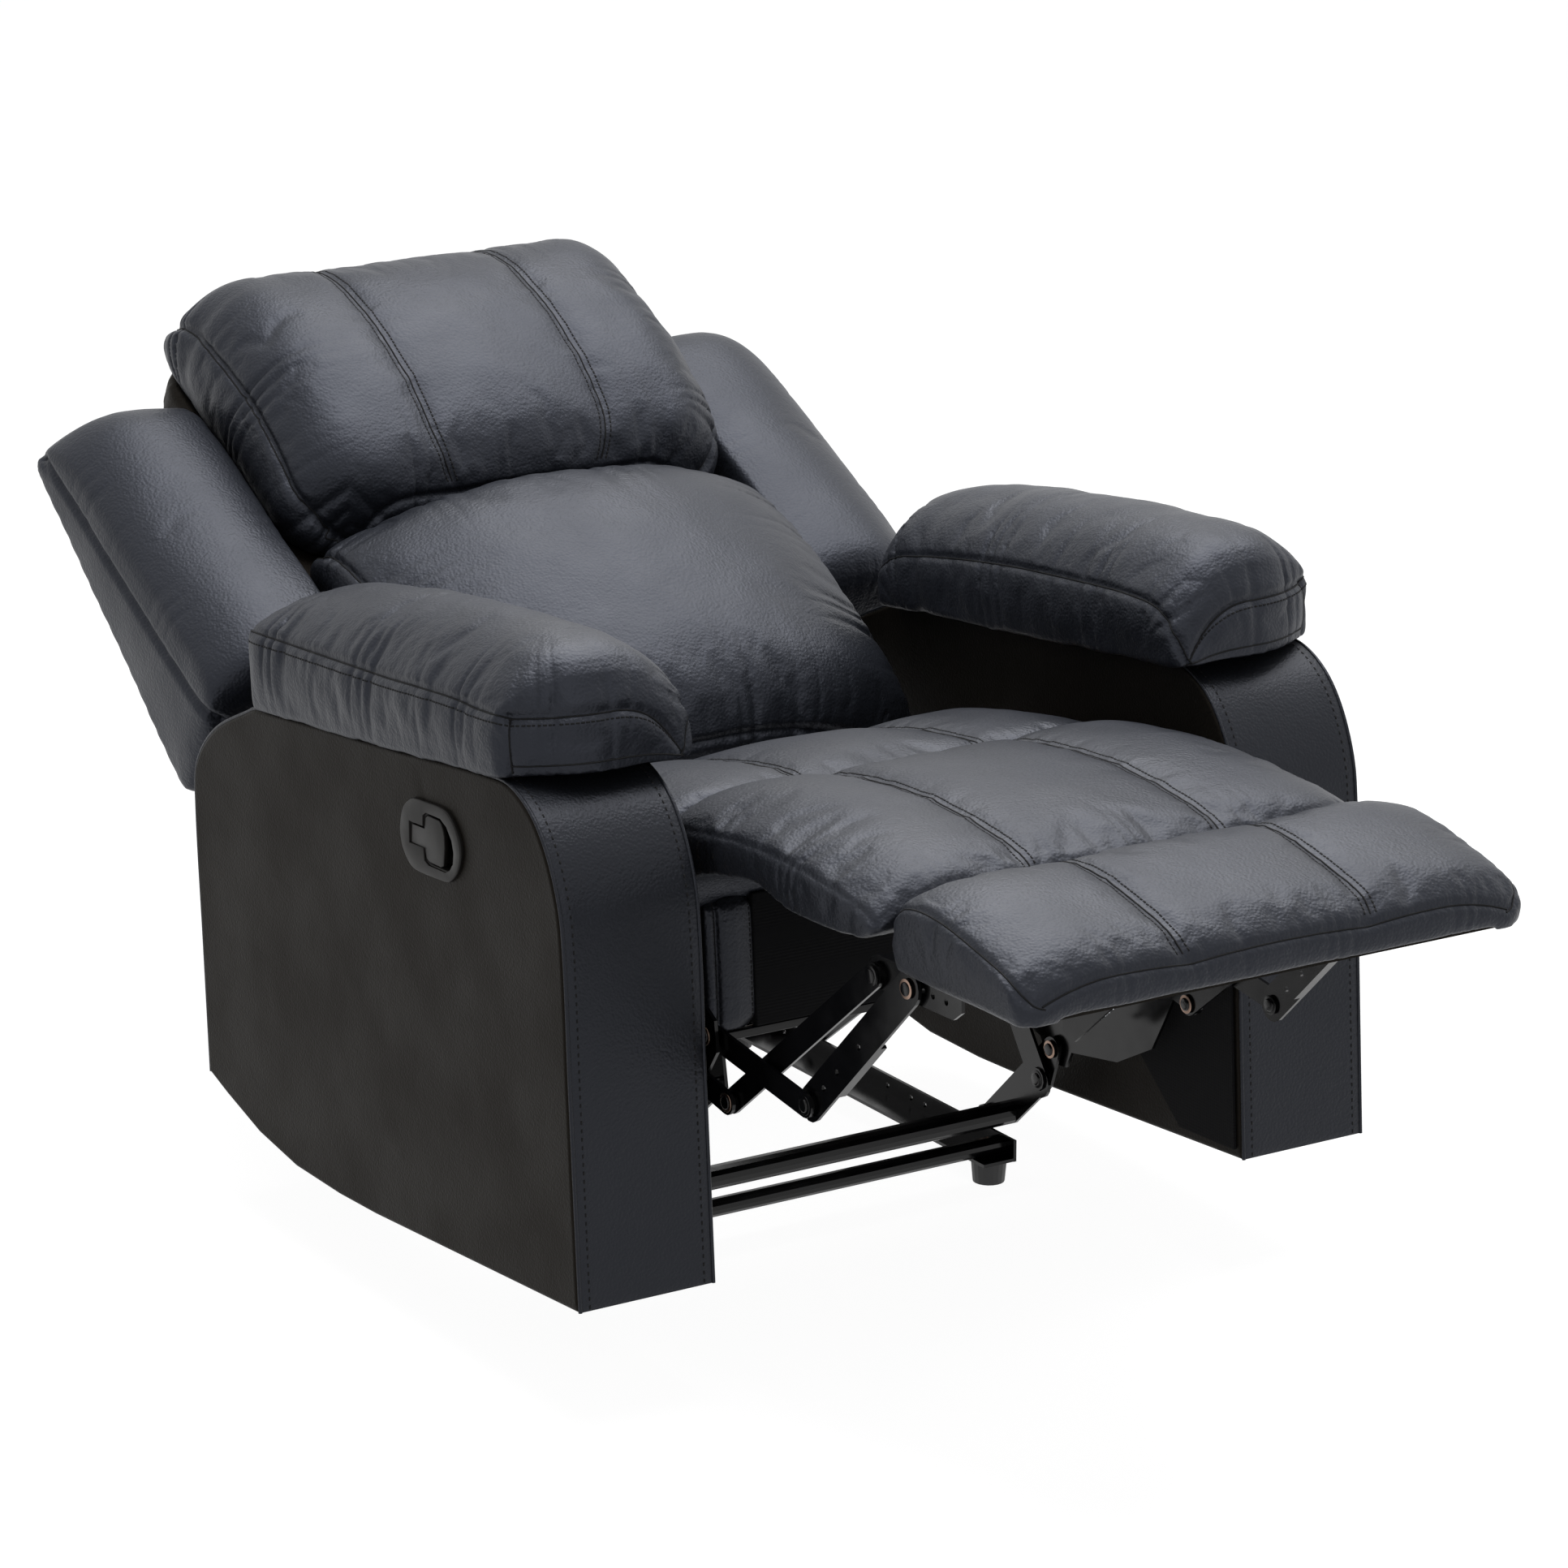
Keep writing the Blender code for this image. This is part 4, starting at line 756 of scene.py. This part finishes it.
def rimParts(pad, w, sides, lift=0.6):  # the rim's straight runs, each with its way out
    half, low, high, place = pad["half"], pad["top"][0][0], pad["top"][-1][0], pad["place"]
    runs = {"low": ((-half, low), (half, low), (0, -1)), "high": ((half, high), (-half, high), (0, 1)),
            "left": ((half, low), (half, high), (1, 0)), "right": ((-half, high), (-half, low), (-1, 0))}
    found = []
    for a, b, way in [runs[side] for side in sides]:
        line = [place @ padPoint(pad, a[0] + (b[0] - a[0]) * i / 60, a[1] + (b[1] - a[1]) * i / 60, w)
                for i in range(61)]
        found.append((line, upOf(place, (*way, lift))))
    return found


def acrossToo(lines):  # the same lines on the other side of the chair
    over = Matrix.Diagonal((-1, 1, 1))
    return lines + [([over @ p for p in line], over @ way) for line, way in lines]


sewnRows("seat", seatPad, inset=0.004)
frontSewing = sewnRows("seatFront", frontPad)
sewnRows("footrest", footPad)
sewnRows("head", headPad)
# dark cords along the rims of the footrest, head and lumbar cushions: painted shade for the shadow in their
# seams
for name, pad, w, sides, lift in (("footrestRimSeam", footPad, 0.97, ("low", "left", "right"), 0.6),
                                  ("headSideSeams", headPad, 0.96, ("left", "right"), 0.3),
                                  ("lumbarSideSeams", lumbarPad, 0.96, ("left", "right"), 0.3)):
    seamShadeCords(name, rimParts(pad, w, sides, lift), [covers[pad["name"]]], pad["body"])
armTargets = [covers["armPadCoverLeft"], covers["armPadCoverRight"]]
# dark cords along the arm pads' top seams: painted shade for the shadow in those grooves
seamShadeCords("armPadTopSeams", acrossToo(rimParts(armPad, 0.99, ("low", "left", "right"), 0.4)), armTargets,
          "seat_body")
stitchRows("armPadStitching", acrossToo(rimParts(armPad, 0.86, ("low", "left"), 0.2)), armTargets, "seat_body")
# dark cords up the arm pads' outer front corners and along their lower edges: painted shade in those seams
cornerLine = ([bodyPlace @ p for p in cornerOf(armPad)], upOf(bodyPlace, (1, -1, 0)))
seamShadeCords("armPadCornerSeams", acrossToo([cornerLine] + rimParts(armPad, 0.17, ("low",), 0)), armTargets,
          "seat_body")
for piece in (covers["seatFrontCover"], *frontSewing):
    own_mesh(piece)
print("seams stitched")

# arms: leather over a timber box, a sewn strip over the front, the top and the rear

arms = {
    "inner": 0.3012, "outer": 0.45, "round": 0.0045, "stripIn": 0.0045, "stripProud": 0.001,
    "stripThick": 0.002, "stripRound": 0.0008, "stitchIn": 0.0085, "stitchPitch": 0.0042,
    "weltIn": 0.003, "weltOut": 0.0003, "weltRadius": 0.0019,
    "bottom": ((0, 0), (0.2, -0.001), (0.389, -0.002), (0.463, 0), (0.553, 0.007),
               (0.63, 0.024), (0.698, 0.049), (0.734, 0.064)),
    "over": ((0.734, 0.064), (0.732, 0.2), (0.73, 0.34), (0.722, 0.387), (0.679, 0.428),
             (0.6, 0.461), (0.585, 0.466), (0.3, 0.477), (0.1, 0.484), (0.065, 0.474),
             (0.035, 0.45), (0.012, 0.41), (0, 0.36), (0, 0.2), (0, 0)),
}


def smoothPath(points, step=0.008, closed=False):  # a curve through the points
    points = [Vector(p) for p in points]
    count = len(points)
    line = []
    for i in range(count if closed else count - 1):
        a, b = points[i], points[(i + 1) % count]
        before = points[i - 1] if i or closed else a * 2 - b
        after = points[(i + 2) % count] if closed or i + 2 < count else b * 2 - a
        lengthA, lengthB, lengthC = (a - before).length, (b - a).length, (after - b).length
        slopeA = ((b - before) / (lengthA + lengthB)) * lengthB
        slopeB = ((after - a) / (lengthB + lengthC)) * lengthB
        pieces = max(1, round(lengthB / step))
        line += [between(a, b, slopeA, slopeB, k / pieces) for k in range(pieces)]
    return line if closed else line + [points[-1]]


overLine = smoothPath(arms["over"])


# the lever sits in the outer face of the right arm; outlines are (y, z) in the seat body
lever = {
    "face": -0.4542, "back": -0.4498, "floor": -0.4345, "wall": 0.0012, "edge": 0.0016, "lip": 0.0005,
    "cutFrom": -0.46, "cutTo": -0.43,
    "paddleFace": -0.453, "paddleBack": -0.449, "paddleEdge": 0.0008,
    "bezel": ((.2871, .4087), (.2796, .4261), (.2665, .4355), (.2582, .4383), (.2381, .4388), (.2005, .438),
              (.1874, .4316), (.1769, .4198), (.1715, .4042), (.1739, .3918), (.1809, .3806), (.1937, .3706),
              (.1999, .3684), (.2217, .3675), (.2616, .3686), (.2732, .3733), (.284, .3853), (.2878, .3985)),
    "hole": ((.2687, .4147), (.2423, .4142), (.2412, .4244), (.2352, .4285), (.2075, .4278), (.1963, .422),
             (.1876, .4109), (.1848, .3995), (.187, .3883), (.1947, .3803), (.2029, .3772), (.2346, .3779),
             (.2422, .3814), (.2429, .3932), (.27, .3935)),
    "paddle": ((.2649, .4124), (.241, .412), (.2378, .423), (.2335, .4258), (.2118, .425), (.208, .4227),
               (.205, .417), (.2034, .4108), (.2036, .4), (.2055, .3906), (.2073, .3823), (.2125, .3801),
               (.2342, .381), (.2399, .3838), (.243, .3927), (.2679, .3939)),
}


def ringAt(bm, points, x):
    verts = [bm.verts.new((x, p[0], p[1])) for p in points]
    return verts, [bm.edges.new((a, b)) for a, b in zip(verts, verts[1:] + verts[:1])]


def pushed(grown, x):  # the new points of an extrusion, moved to x
    moved = [g for g in grown["geom"] if isinstance(g, bmesh.types.BMVert)]
    for vert in moved:
        vert.co.x = x
    return moved


def thickened(bm, x):
    pushed(bmesh.ops.extrude_face_region(bm, geom=bm.faces[:]), x)


def armBody(side, word):
    bm = bmesh.new()
    outline = [Vector(p) for p in arms["bottom"]] + overLine[1:-1]
    rim = [bm.verts.new((arms["inner"], p.x, p.y)) for p in outline]
    bm.faces.new(rim)
    thickened(bm, arms["outer"])
    bm.normal_update()  # the bevel reads them
    edges = [e for e in bm.edges if abs(e.verts[0].co.x - e.verts[1].co.x) < 1e-6]
    bevelled(bm, edges, arms["round"], segments=4, clamp_overlap=True)
    if side < 0:
        bmesh.ops.scale(bm, vec=(-1, 1, 1), verts=bm.verts)
    transformed(bm, bodyPlace)
    facedOut(bm)
    made = keepMesh(f"armCover{word}", bm, panelLeather, "seat_body", smooth=True, slot="panel_leather")
    if side < 0:  # the opening behind the lever
        opening = bmesh.new()
        ring, edges = ringAt(opening, lever["hole"], lever["cutFrom"])
        opening.faces.new(ring)
        thickened(opening, lever["cutTo"])
        facedOut(opening)
        transformed(opening, bodyPlace)
        cutter = objectOf("leverOpening", meshOf("leverOpening", opening))
        cut = made.modifiers.new("opening", "BOOLEAN")
        cut.object, cut.operation, cut.solver = cutter, "DIFFERENCE", "EXACT"
        bakeModifiers(made)
        bpy.data.objects.remove(cutter)
    even = made.modifiers.new("even", "WEIGHTED_NORMAL")
    even.weight = 100
    bakeModifiers(made)
    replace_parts(made, "arm_" + word.lower())


def armStrip(side, word):
    bm = bmesh.new()
    low, high = arms["inner"] + arms["stripIn"], arms["outer"] - arms["stripIn"]
    line = []
    for i, p in enumerate(overLine):
        way = (overLine[min(i + 1, len(overLine) - 1)] - overLine[max(i - 1, 0)]).normalized()
        at = p + Vector((way.y, -way.x)) * arms["stripProud"]
        line.append(bm.verts.new((low, at.x, at.y)))
    edges = [bm.edges.new((a, b)) for a, b in zip(line, line[1:])]
    pushed(bmesh.ops.extrude_edge_only(bm, edges=edges), high)
    across = [e for e in bm.edges if abs(e.verts[0].co.x - e.verts[1].co.x) > 0.01]
    bmesh.ops.subdivide_edges(bm, edges=across, cuts=11, use_grid_fill=True)
    if side < 0:
        bmesh.ops.scale(bm, vec=(-1, 1, 1), verts=bm.verts)
    transformed(bm, bodyPlace)
    facedOut(bm)
    middle = bodyPlace @ Vector((side * (low + high) / 2, 0.35, 0.25))
    if sum((f.calc_center_median() - middle).dot(f.normal) for f in bm.faces) < 0:
        bmesh.ops.reverse_faces(bm, faces=bm.faces)
    made = keepMesh(f"armStrip{word}", bm, stripLeather, "seat_body", smooth=True, slot="panel_leather")
    wall = made.modifiers.new("wall", "SOLIDIFY")
    wall.thickness, wall.offset = arms["stripThick"], -1
    soft = made.modifiers.new("soft", "BEVEL")
    soft.width, soft.segments, soft.limit_method = arms["stripRound"], 2, "ANGLE"
    bakeModifiers(made)
    for poly in made.data.polygons:
        poly.use_smooth = True
    return made


for side, word in ((1, "Left"), (-1, "Right")):
    armBody(side, word)
    strip = armStrip(side, word)
    ways = [(b - a).normalized() for a, b in zip(overLine, overLine[1:])]
    ways = [Vector((0, way.y, -way.x)) for way in ways]
    rows, welts = [], []
    for edge, inward in ((arms["inner"], 1), (arms["outer"], -1)):
        x = side * (edge + inward * (arms["stripIn"] + arms["stitchIn"]))
        for i, way in enumerate(ways):
            a, b = overLine[i], overLine[i + 1]
            rows.append(([bodyPlace @ Vector((x, a.x, a.y)), bodyPlace @ Vector((x, b.x, b.y))],
                         bodyPlace.to_3x3() @ way))
        x = side * (edge + inward * arms["weltIn"])
        welts.append([bodyPlace @ (Vector((x, p.x, p.y)) + ways[min(i, len(ways) - 1)] * arms["weltOut"])
                      for i, p in enumerate(overLine)])
    stitchRows(f"armStitching{word}", rows, [strip], "seat_body", pitch=arms["stitchPitch"], reach=0.01)
    tubeMesh(f"armWelts{word}", welts, arms["weltRadius"], stripLeather, "seat_body", "panel_leather", sides=3)
print("arms made")

# recline lever: bezel, the cup behind it, and the part that is pulled


def leverPart(name, bm, body="seat_body"):
    transformed(bm, bodyPlace)
    return keepMesh(name, bm, mouldedPlastic, body, smooth="angle", slot="lever_plastic")


bm = bmesh.new()
outer, outerEdges = ringAt(bm, smoothPath(lever["bezel"], 0.004, closed=True), lever["face"])
inner, innerEdges = ringAt(bm, lever["hole"], lever["face"])
bmesh.ops.triangle_fill(bm, use_beauty=True, use_dissolve=False, edges=outerEdges + innerEdges)
thickened(bm, lever["back"])
facedOut(bm)
frontOuter, frontInner = [
    [e for e in bm.edges if e.verts[0] in ring and e.verts[1] in ring and len(e.link_faces) == 2
     and abs(e.link_faces[0].normal.dot(e.link_faces[1].normal)) < 0.5]
    for ring in (outer, inner)]
bevelled(bm, frontOuter, lever["edge"])
bevelled(bm, frontInner, lever["lip"], segments=2)
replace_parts(leverPart("leverBezel", bm), "lever_bezel")

bm = bmesh.new()  # the cup behind the opening
ring, edges = ringAt(bm, lever["hole"], (lever["face"] + lever["back"]) / 2)
floorRing = pushed(bmesh.ops.extrude_edge_only(bm, edges=edges), lever["floor"])
bmesh.ops.contextual_create(bm, geom=[e for e in bm.edges if all(v in floorRing for v in e.verts)])
facedOut(bm)
cup = leverPart("leverCup", bm)
wall = cup.modifiers.new("wall", "SOLIDIFY")
wall.thickness, wall.offset = lever["wall"], 0
bakeModifiers(cup)

bm = bmesh.new()
ring, edges = ringAt(bm, lever["paddle"], lever["paddleFace"])
bm.faces.new(ring)
thickened(bm, lever["paddleBack"])
facedOut(bm)
frontEdges = [e for e in bm.edges if all(abs(v.co.x - lever["paddleFace"]) < 1e-6 for v in e.verts)]
bevelled(bm, frontEdges, lever["paddleEdge"])
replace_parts(leverPart("leverPaddle", bm, "release_lever"), "release_lever")
print("lever made")

# apron under the seat front: a lined panel between two sewn leather ends


def plainBox(name, low, high, place, look, body, slot, edge=0.002):
    bm = bmesh.new()
    bmesh.ops.create_cube(bm, size=1)
    middle = [(a + b) / 2 for a, b in zip(low, high)]
    size = [b - a for a, b in zip(low, high)]
    transformed(bm, Matrix.Translation(middle) @ Matrix.Diagonal((*size, 1)))
    bevelled(bm, bm.edges[:], edge)
    transformed(bm, place)
    return keepMesh(name, bm, look, body, smooth="angle", slot=slot)


apronPad = {
    "name": "apronEndLeft", "place": bodyPlace @ Matrix.Translation((0, 0.0995, 0)) @ turnX(90),
    "half": 0.0268, "corner": 0.008, "centre": 0.2184, "seams": (), "crown": 0.002,
    "sideDrop": 0.004, "draw": 0, "grid": 0.003, "creaseAt": 0.016, "stitchesAt": -0.0225,
    "top": ((0.207, 0.009), (0.214, 0.0128), (0.3, 0.0136), (0.33, 0.012), (0.338, 0.006)),
    "low": ((0.207, 0.0002), (0.338, 0.0002)),
}
apronEnd = padForm(apronPad)
rounded(apronEnd)
crease = seamOf(apronPad, apronPad["creaseAt"], steps=20)
sew(apronEnd, crease, depth=0.003, width=0.003, gather=0.0007, reach=0.012, pitch=0.02, seed=3)
clad(apronEnd, stripLeather, apronPad["place"])
apronOther = mirrored(apronEnd, "apronEndRight")
for piece in (apronEnd, apronOther):
    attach(piece, "seat_body")
panel = plainBox("apronPanel", (-0.1925, 0.088, 0.2065), (0.1925, 0.099, 0.336), bodyPlace, liningCloth,
                 "seat_body", "dust_fabric")
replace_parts(panel, "front_apron")
plainBox("apronBar", (-0.244, 0.0885, 0.198), (0.244, 0.099, 0.2064), bodyPlace, glossPaint, "seat_body",
         "painted_steel", edge=0.001)
endLine, endRow = [[alongSeam(apronPad, apronPad[at], 0.004)] for at in ("creaseAt", "stitchesAt")]
# a thin dark cord in each crease of the apron ends: painted shade for the crease's shadow
seamShadeCords("apronCreases", acrossToo(endLine), [apronEnd, apronOther], "seat_body", radius=0.0007)
stitchRows("apronStitching", acrossToo(endRow), [apronEnd, apronOther], "seat_body")
print("apron made")

# back seen from behind: one padded panel with rounded corners over the board

shellPad = {  # turned over, so that its height runs rearwards
    "name": "backShellCover", "place": backPlace @ Matrix.Rotation(math.pi, 4, "Y"), "half": 0.264,
    "corner": 0.055, "seams": (), "crown": 0, "sideDrop": 0.024, "dropPower": 9, "draw": 0, "grid": 0.007,
    "top": ((0.016, 0.118), (0.04, 0.141), (0.35, 0.104), (0.6, 0.071), (0.65, 0.06), (0.668, 0.04)),
    "low": ((0.016, 0.0006), (0.668, 0.0006)),
}
shell = padForm(shellPad)
rounded(shell)
sew(shell, rimOf(shellPad), depth=0.002, width=0.005, gather=0.001, reach=0.03, pitch=0.03, seed=6)
rumple(shell, 0.0012, 0.12, 31.0)
clad(shell, panelLeather, shellPad["place"])
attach(shell, "back")
board = plainBox("backBoardFoot", (-0.2545, -0.087, -0.0192), (0.2545, 0.03, -0.0006), backPlace,
                 liningCloth, "back", "dust_fabric")
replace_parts(shell, "back_outer_panel")
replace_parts(board, "back_board")
# a dark cord along the back panel's rim: painted shade for the shadow in its seam
seamShadeCords("backShellSeams", rimParts(shellPad, 0.985, ("high", "left", "right"), 0.7), [shell], "back")
print("back covered")

# rivet heads and washers on the pivots, laid on whichever sheet the eye meets there

rivets = {
    "headRadius": 0.0066, "headHigh": 0.0016, "washerRadius": 0.0094, "washerHigh": 0.0007, "sides": 18,
    "reach": 0.5, "outside": 0.44, "clear": 0.0002,
    "bodySpots": (("lowFront", 0.047, 0.222), ("midFront", -0.1136, 0.1905), ("topFront", -0.284, 0.336),
                  ("lowRear", 0.1437, 0.1912), ("midRear", 0.0241, 0.1614), ("topRear", -0.2275, 0.336),
                  ("recline", 0.47, 0.322), ("backPivot", 0.58, 0.365)),
    "baseSpots": (("crankBase", 0.385, 0.055), ("crankSeat", 0.275, 0.16), ("crankLink", 0.287, 0.126),
                  ("rearBase", 0.72, 0.0422), ("rearSeat", 0.5992, 0.0548)),
    "flush": ("lowFront", "lowRear"),  # the upper links fold past these two, close to the plate
    "tinted": ("topFront", "lowFront", "crankBase", "midRear", "crankSeat"),
}
steelStarts = ("base_rail", "crank", "rear_swing", "seat_side_plate", "lower_", "upper_", "footrest_bracket",
               "back_bracket", "recline_link")


def roundHead(radius, high, dome):  # a disc on Z, its top edge rounded over
    bm = bmesh.new()
    bmesh.ops.create_cone(bm, cap_ends=True, segments=rivets["sides"], radius1=radius, radius2=radius,
                          depth=high)
    bmesh.ops.translate(bm, verts=bm.verts, vec=(0, 0, high / 2))
    bevelled(bm, [e for e in bm.edges if all(v.co.z > high * 0.9 for v in e.verts)], high * dome)
    return meshOf("roundHead", bm)


headMesh = roundHead(rivets["headRadius"], rivets["headHigh"], 0.85)
washerMesh = roundHead(rivets["washerRadius"], rivets["washerHigh"], 0.5)
spots = [(name, bodyPlace @ Vector((0, y, z))) for name, y, z in rivets["bodySpots"]]
spots += [(name, Vector((0, y - 0.3893, z))) for name, y, z in rivets["baseSpots"]]
steelNodes = [name for name in nodes if name.startswith(steelStarts)]
steelTrees = dict(zip(steelNodes, treesOf([nodes[name] for name in steelNodes])))
bodyOf = {node: name for name, owned in frame["record"]["behaviour"]["bodies"].items() for node in owned}
heads = {}
for side in (-1, 1):
    for name, spot in spots:
        for start, way in ((0, side), (rivets["outside"], -side)):  # from the middle, and from outside
            if way == side and name in rivets["flush"]:
                continue
            origin, direction = Vector((side * start, spot.y, spot.z)), Vector((way, 0, 0))
            hits = [(tree.ray_cast(origin, direction, rivets["reach"]), node)
                    for node, tree in steelTrees.items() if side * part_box(node)[0].x >= 0]
            hits = [(hit[3], hit[0], node) for hit, node in hits if hit[0] is not None]
            if not hits:
                continue
            distance, place, node = min(hits, key=lambda hit: hit[0])
            turn = (-direction).to_track_quat("Z", "Y").to_matrix().to_4x4()
            put = Matrix.Translation(place + direction * rivets["clear"]) @ turn
            lift = Matrix.Translation(-direction * rivets["washerHigh"])
            under = "Washers" if name in rivets["tinted"] else "Rivets"
            for form, word, matrix in ((washerMesh, under, put), (headMesh, "Rivets", lift @ put)):
                heads.setdefault((bodyOf[node], word), []).append((form, matrix))
for (body, word), placed in heads.items():
    bm = bmesh.new()
    for form, matrix in placed:
        addCopy(bm, form, matrix)
    look, slot = {"Washers": (brassWasher, "zinc_wire"), "Rivets": (glossPaint, "painted_steel")}[word]
    keepMesh(body + word, bm, look, body, smooth="angle", slot=slot)
print("rivets set", sum(len(v) for v in heads.values()))

# floor, lamps and white surround

stage = {"white": "#7c7c7c", "glow": 0.955, "dim": 0.14, "top": 118, "front": 7, "side": 6}
bm = bmesh.new()
bmesh.ops.create_grid(bm, x_segments=8, y_segments=8, size=9)
bmesh.ops.translate(bm, verts=bm.verts, vec=(0, 0, cadLow.z - 0.0004))
floor = objectOf("floor", meshOf("floor", bm))
floorLook, floorTree, floorShader, place = newMaterial(  # even white, takes the shadow
    "matt_white_paper", {"dark": stage["white"]}, {"Roughness": 0.9, "Specular IOR Level": 0.1})


def seenWhite(tree):  # camera, mirror and glass rays see the surround white
    rays = addNode(tree, "ShaderNodeLightPath")
    first = maths(tree, "MAXIMUM", rays.outputs["Is Camera Ray"], rays.outputs["Is Glossy Ray"])
    return maths(tree, "MAXIMUM", first, rays.outputs["Is Transmission Ray"])


lift = maths(floorTree, "MULTIPLY", seenWhite(floorTree), stage["glow"])
glow = addNode(floorTree, "ShaderNodeEmission", {"Color": (1, 1, 1, 1), "Strength": lift})
both = addNode(floorTree, "ShaderNodeAddShader", {0: floorShader.outputs[0], 1: glow.outputs[0]})
floorTree.links.new(both.outputs[0], floorTree.nodes["Material Output"].inputs["Surface"])
floor.data.materials.append(floorLook)

world = bpy.data.worlds.new("surround")
scene.world = world
world.use_nodes = True
worldTree = world.node_tree
strength = addNode(worldTree, "ShaderNodeMapRange", {
    "Value": seenWhite(worldTree), "To Min": stage["dim"], "To Max": 1.0})
worldTree.nodes["Background"].inputs["Color"].default_value = (1, 1, 1, 1)
worldTree.links.new(strength.outputs["Result"], worldTree.nodes["Background"].inputs["Strength"])


def softbox(name, place, target, size, power):
    data = bpy.data.lights.new(name, "AREA")
    data.shape, data.size, data.size_y, data.energy = "RECTANGLE", size[0], size[1], power
    lamp = objectOf(name, data)
    lamp.location = place
    lamp.rotation_euler = (Vector(target) - Vector(place)).to_track_quat("-Z", "Y").to_euler()


softbox("softboxTop", (0.5, 0.35, 2.9), (0, 0.1, 0.5), (2.6, 3.0), stage["top"])
softbox("softboxFront", (-1.2, -3.4, 1.9), (0, 0, 0.5), (1.6, 1.6), stage["front"])
softbox("softboxSide", (3.0, -0.6, 1.8), (0, 0, 0.5), (1.4, 1.8), stage["side"])
print("stage lit")

bpy.context.view_layer.update()
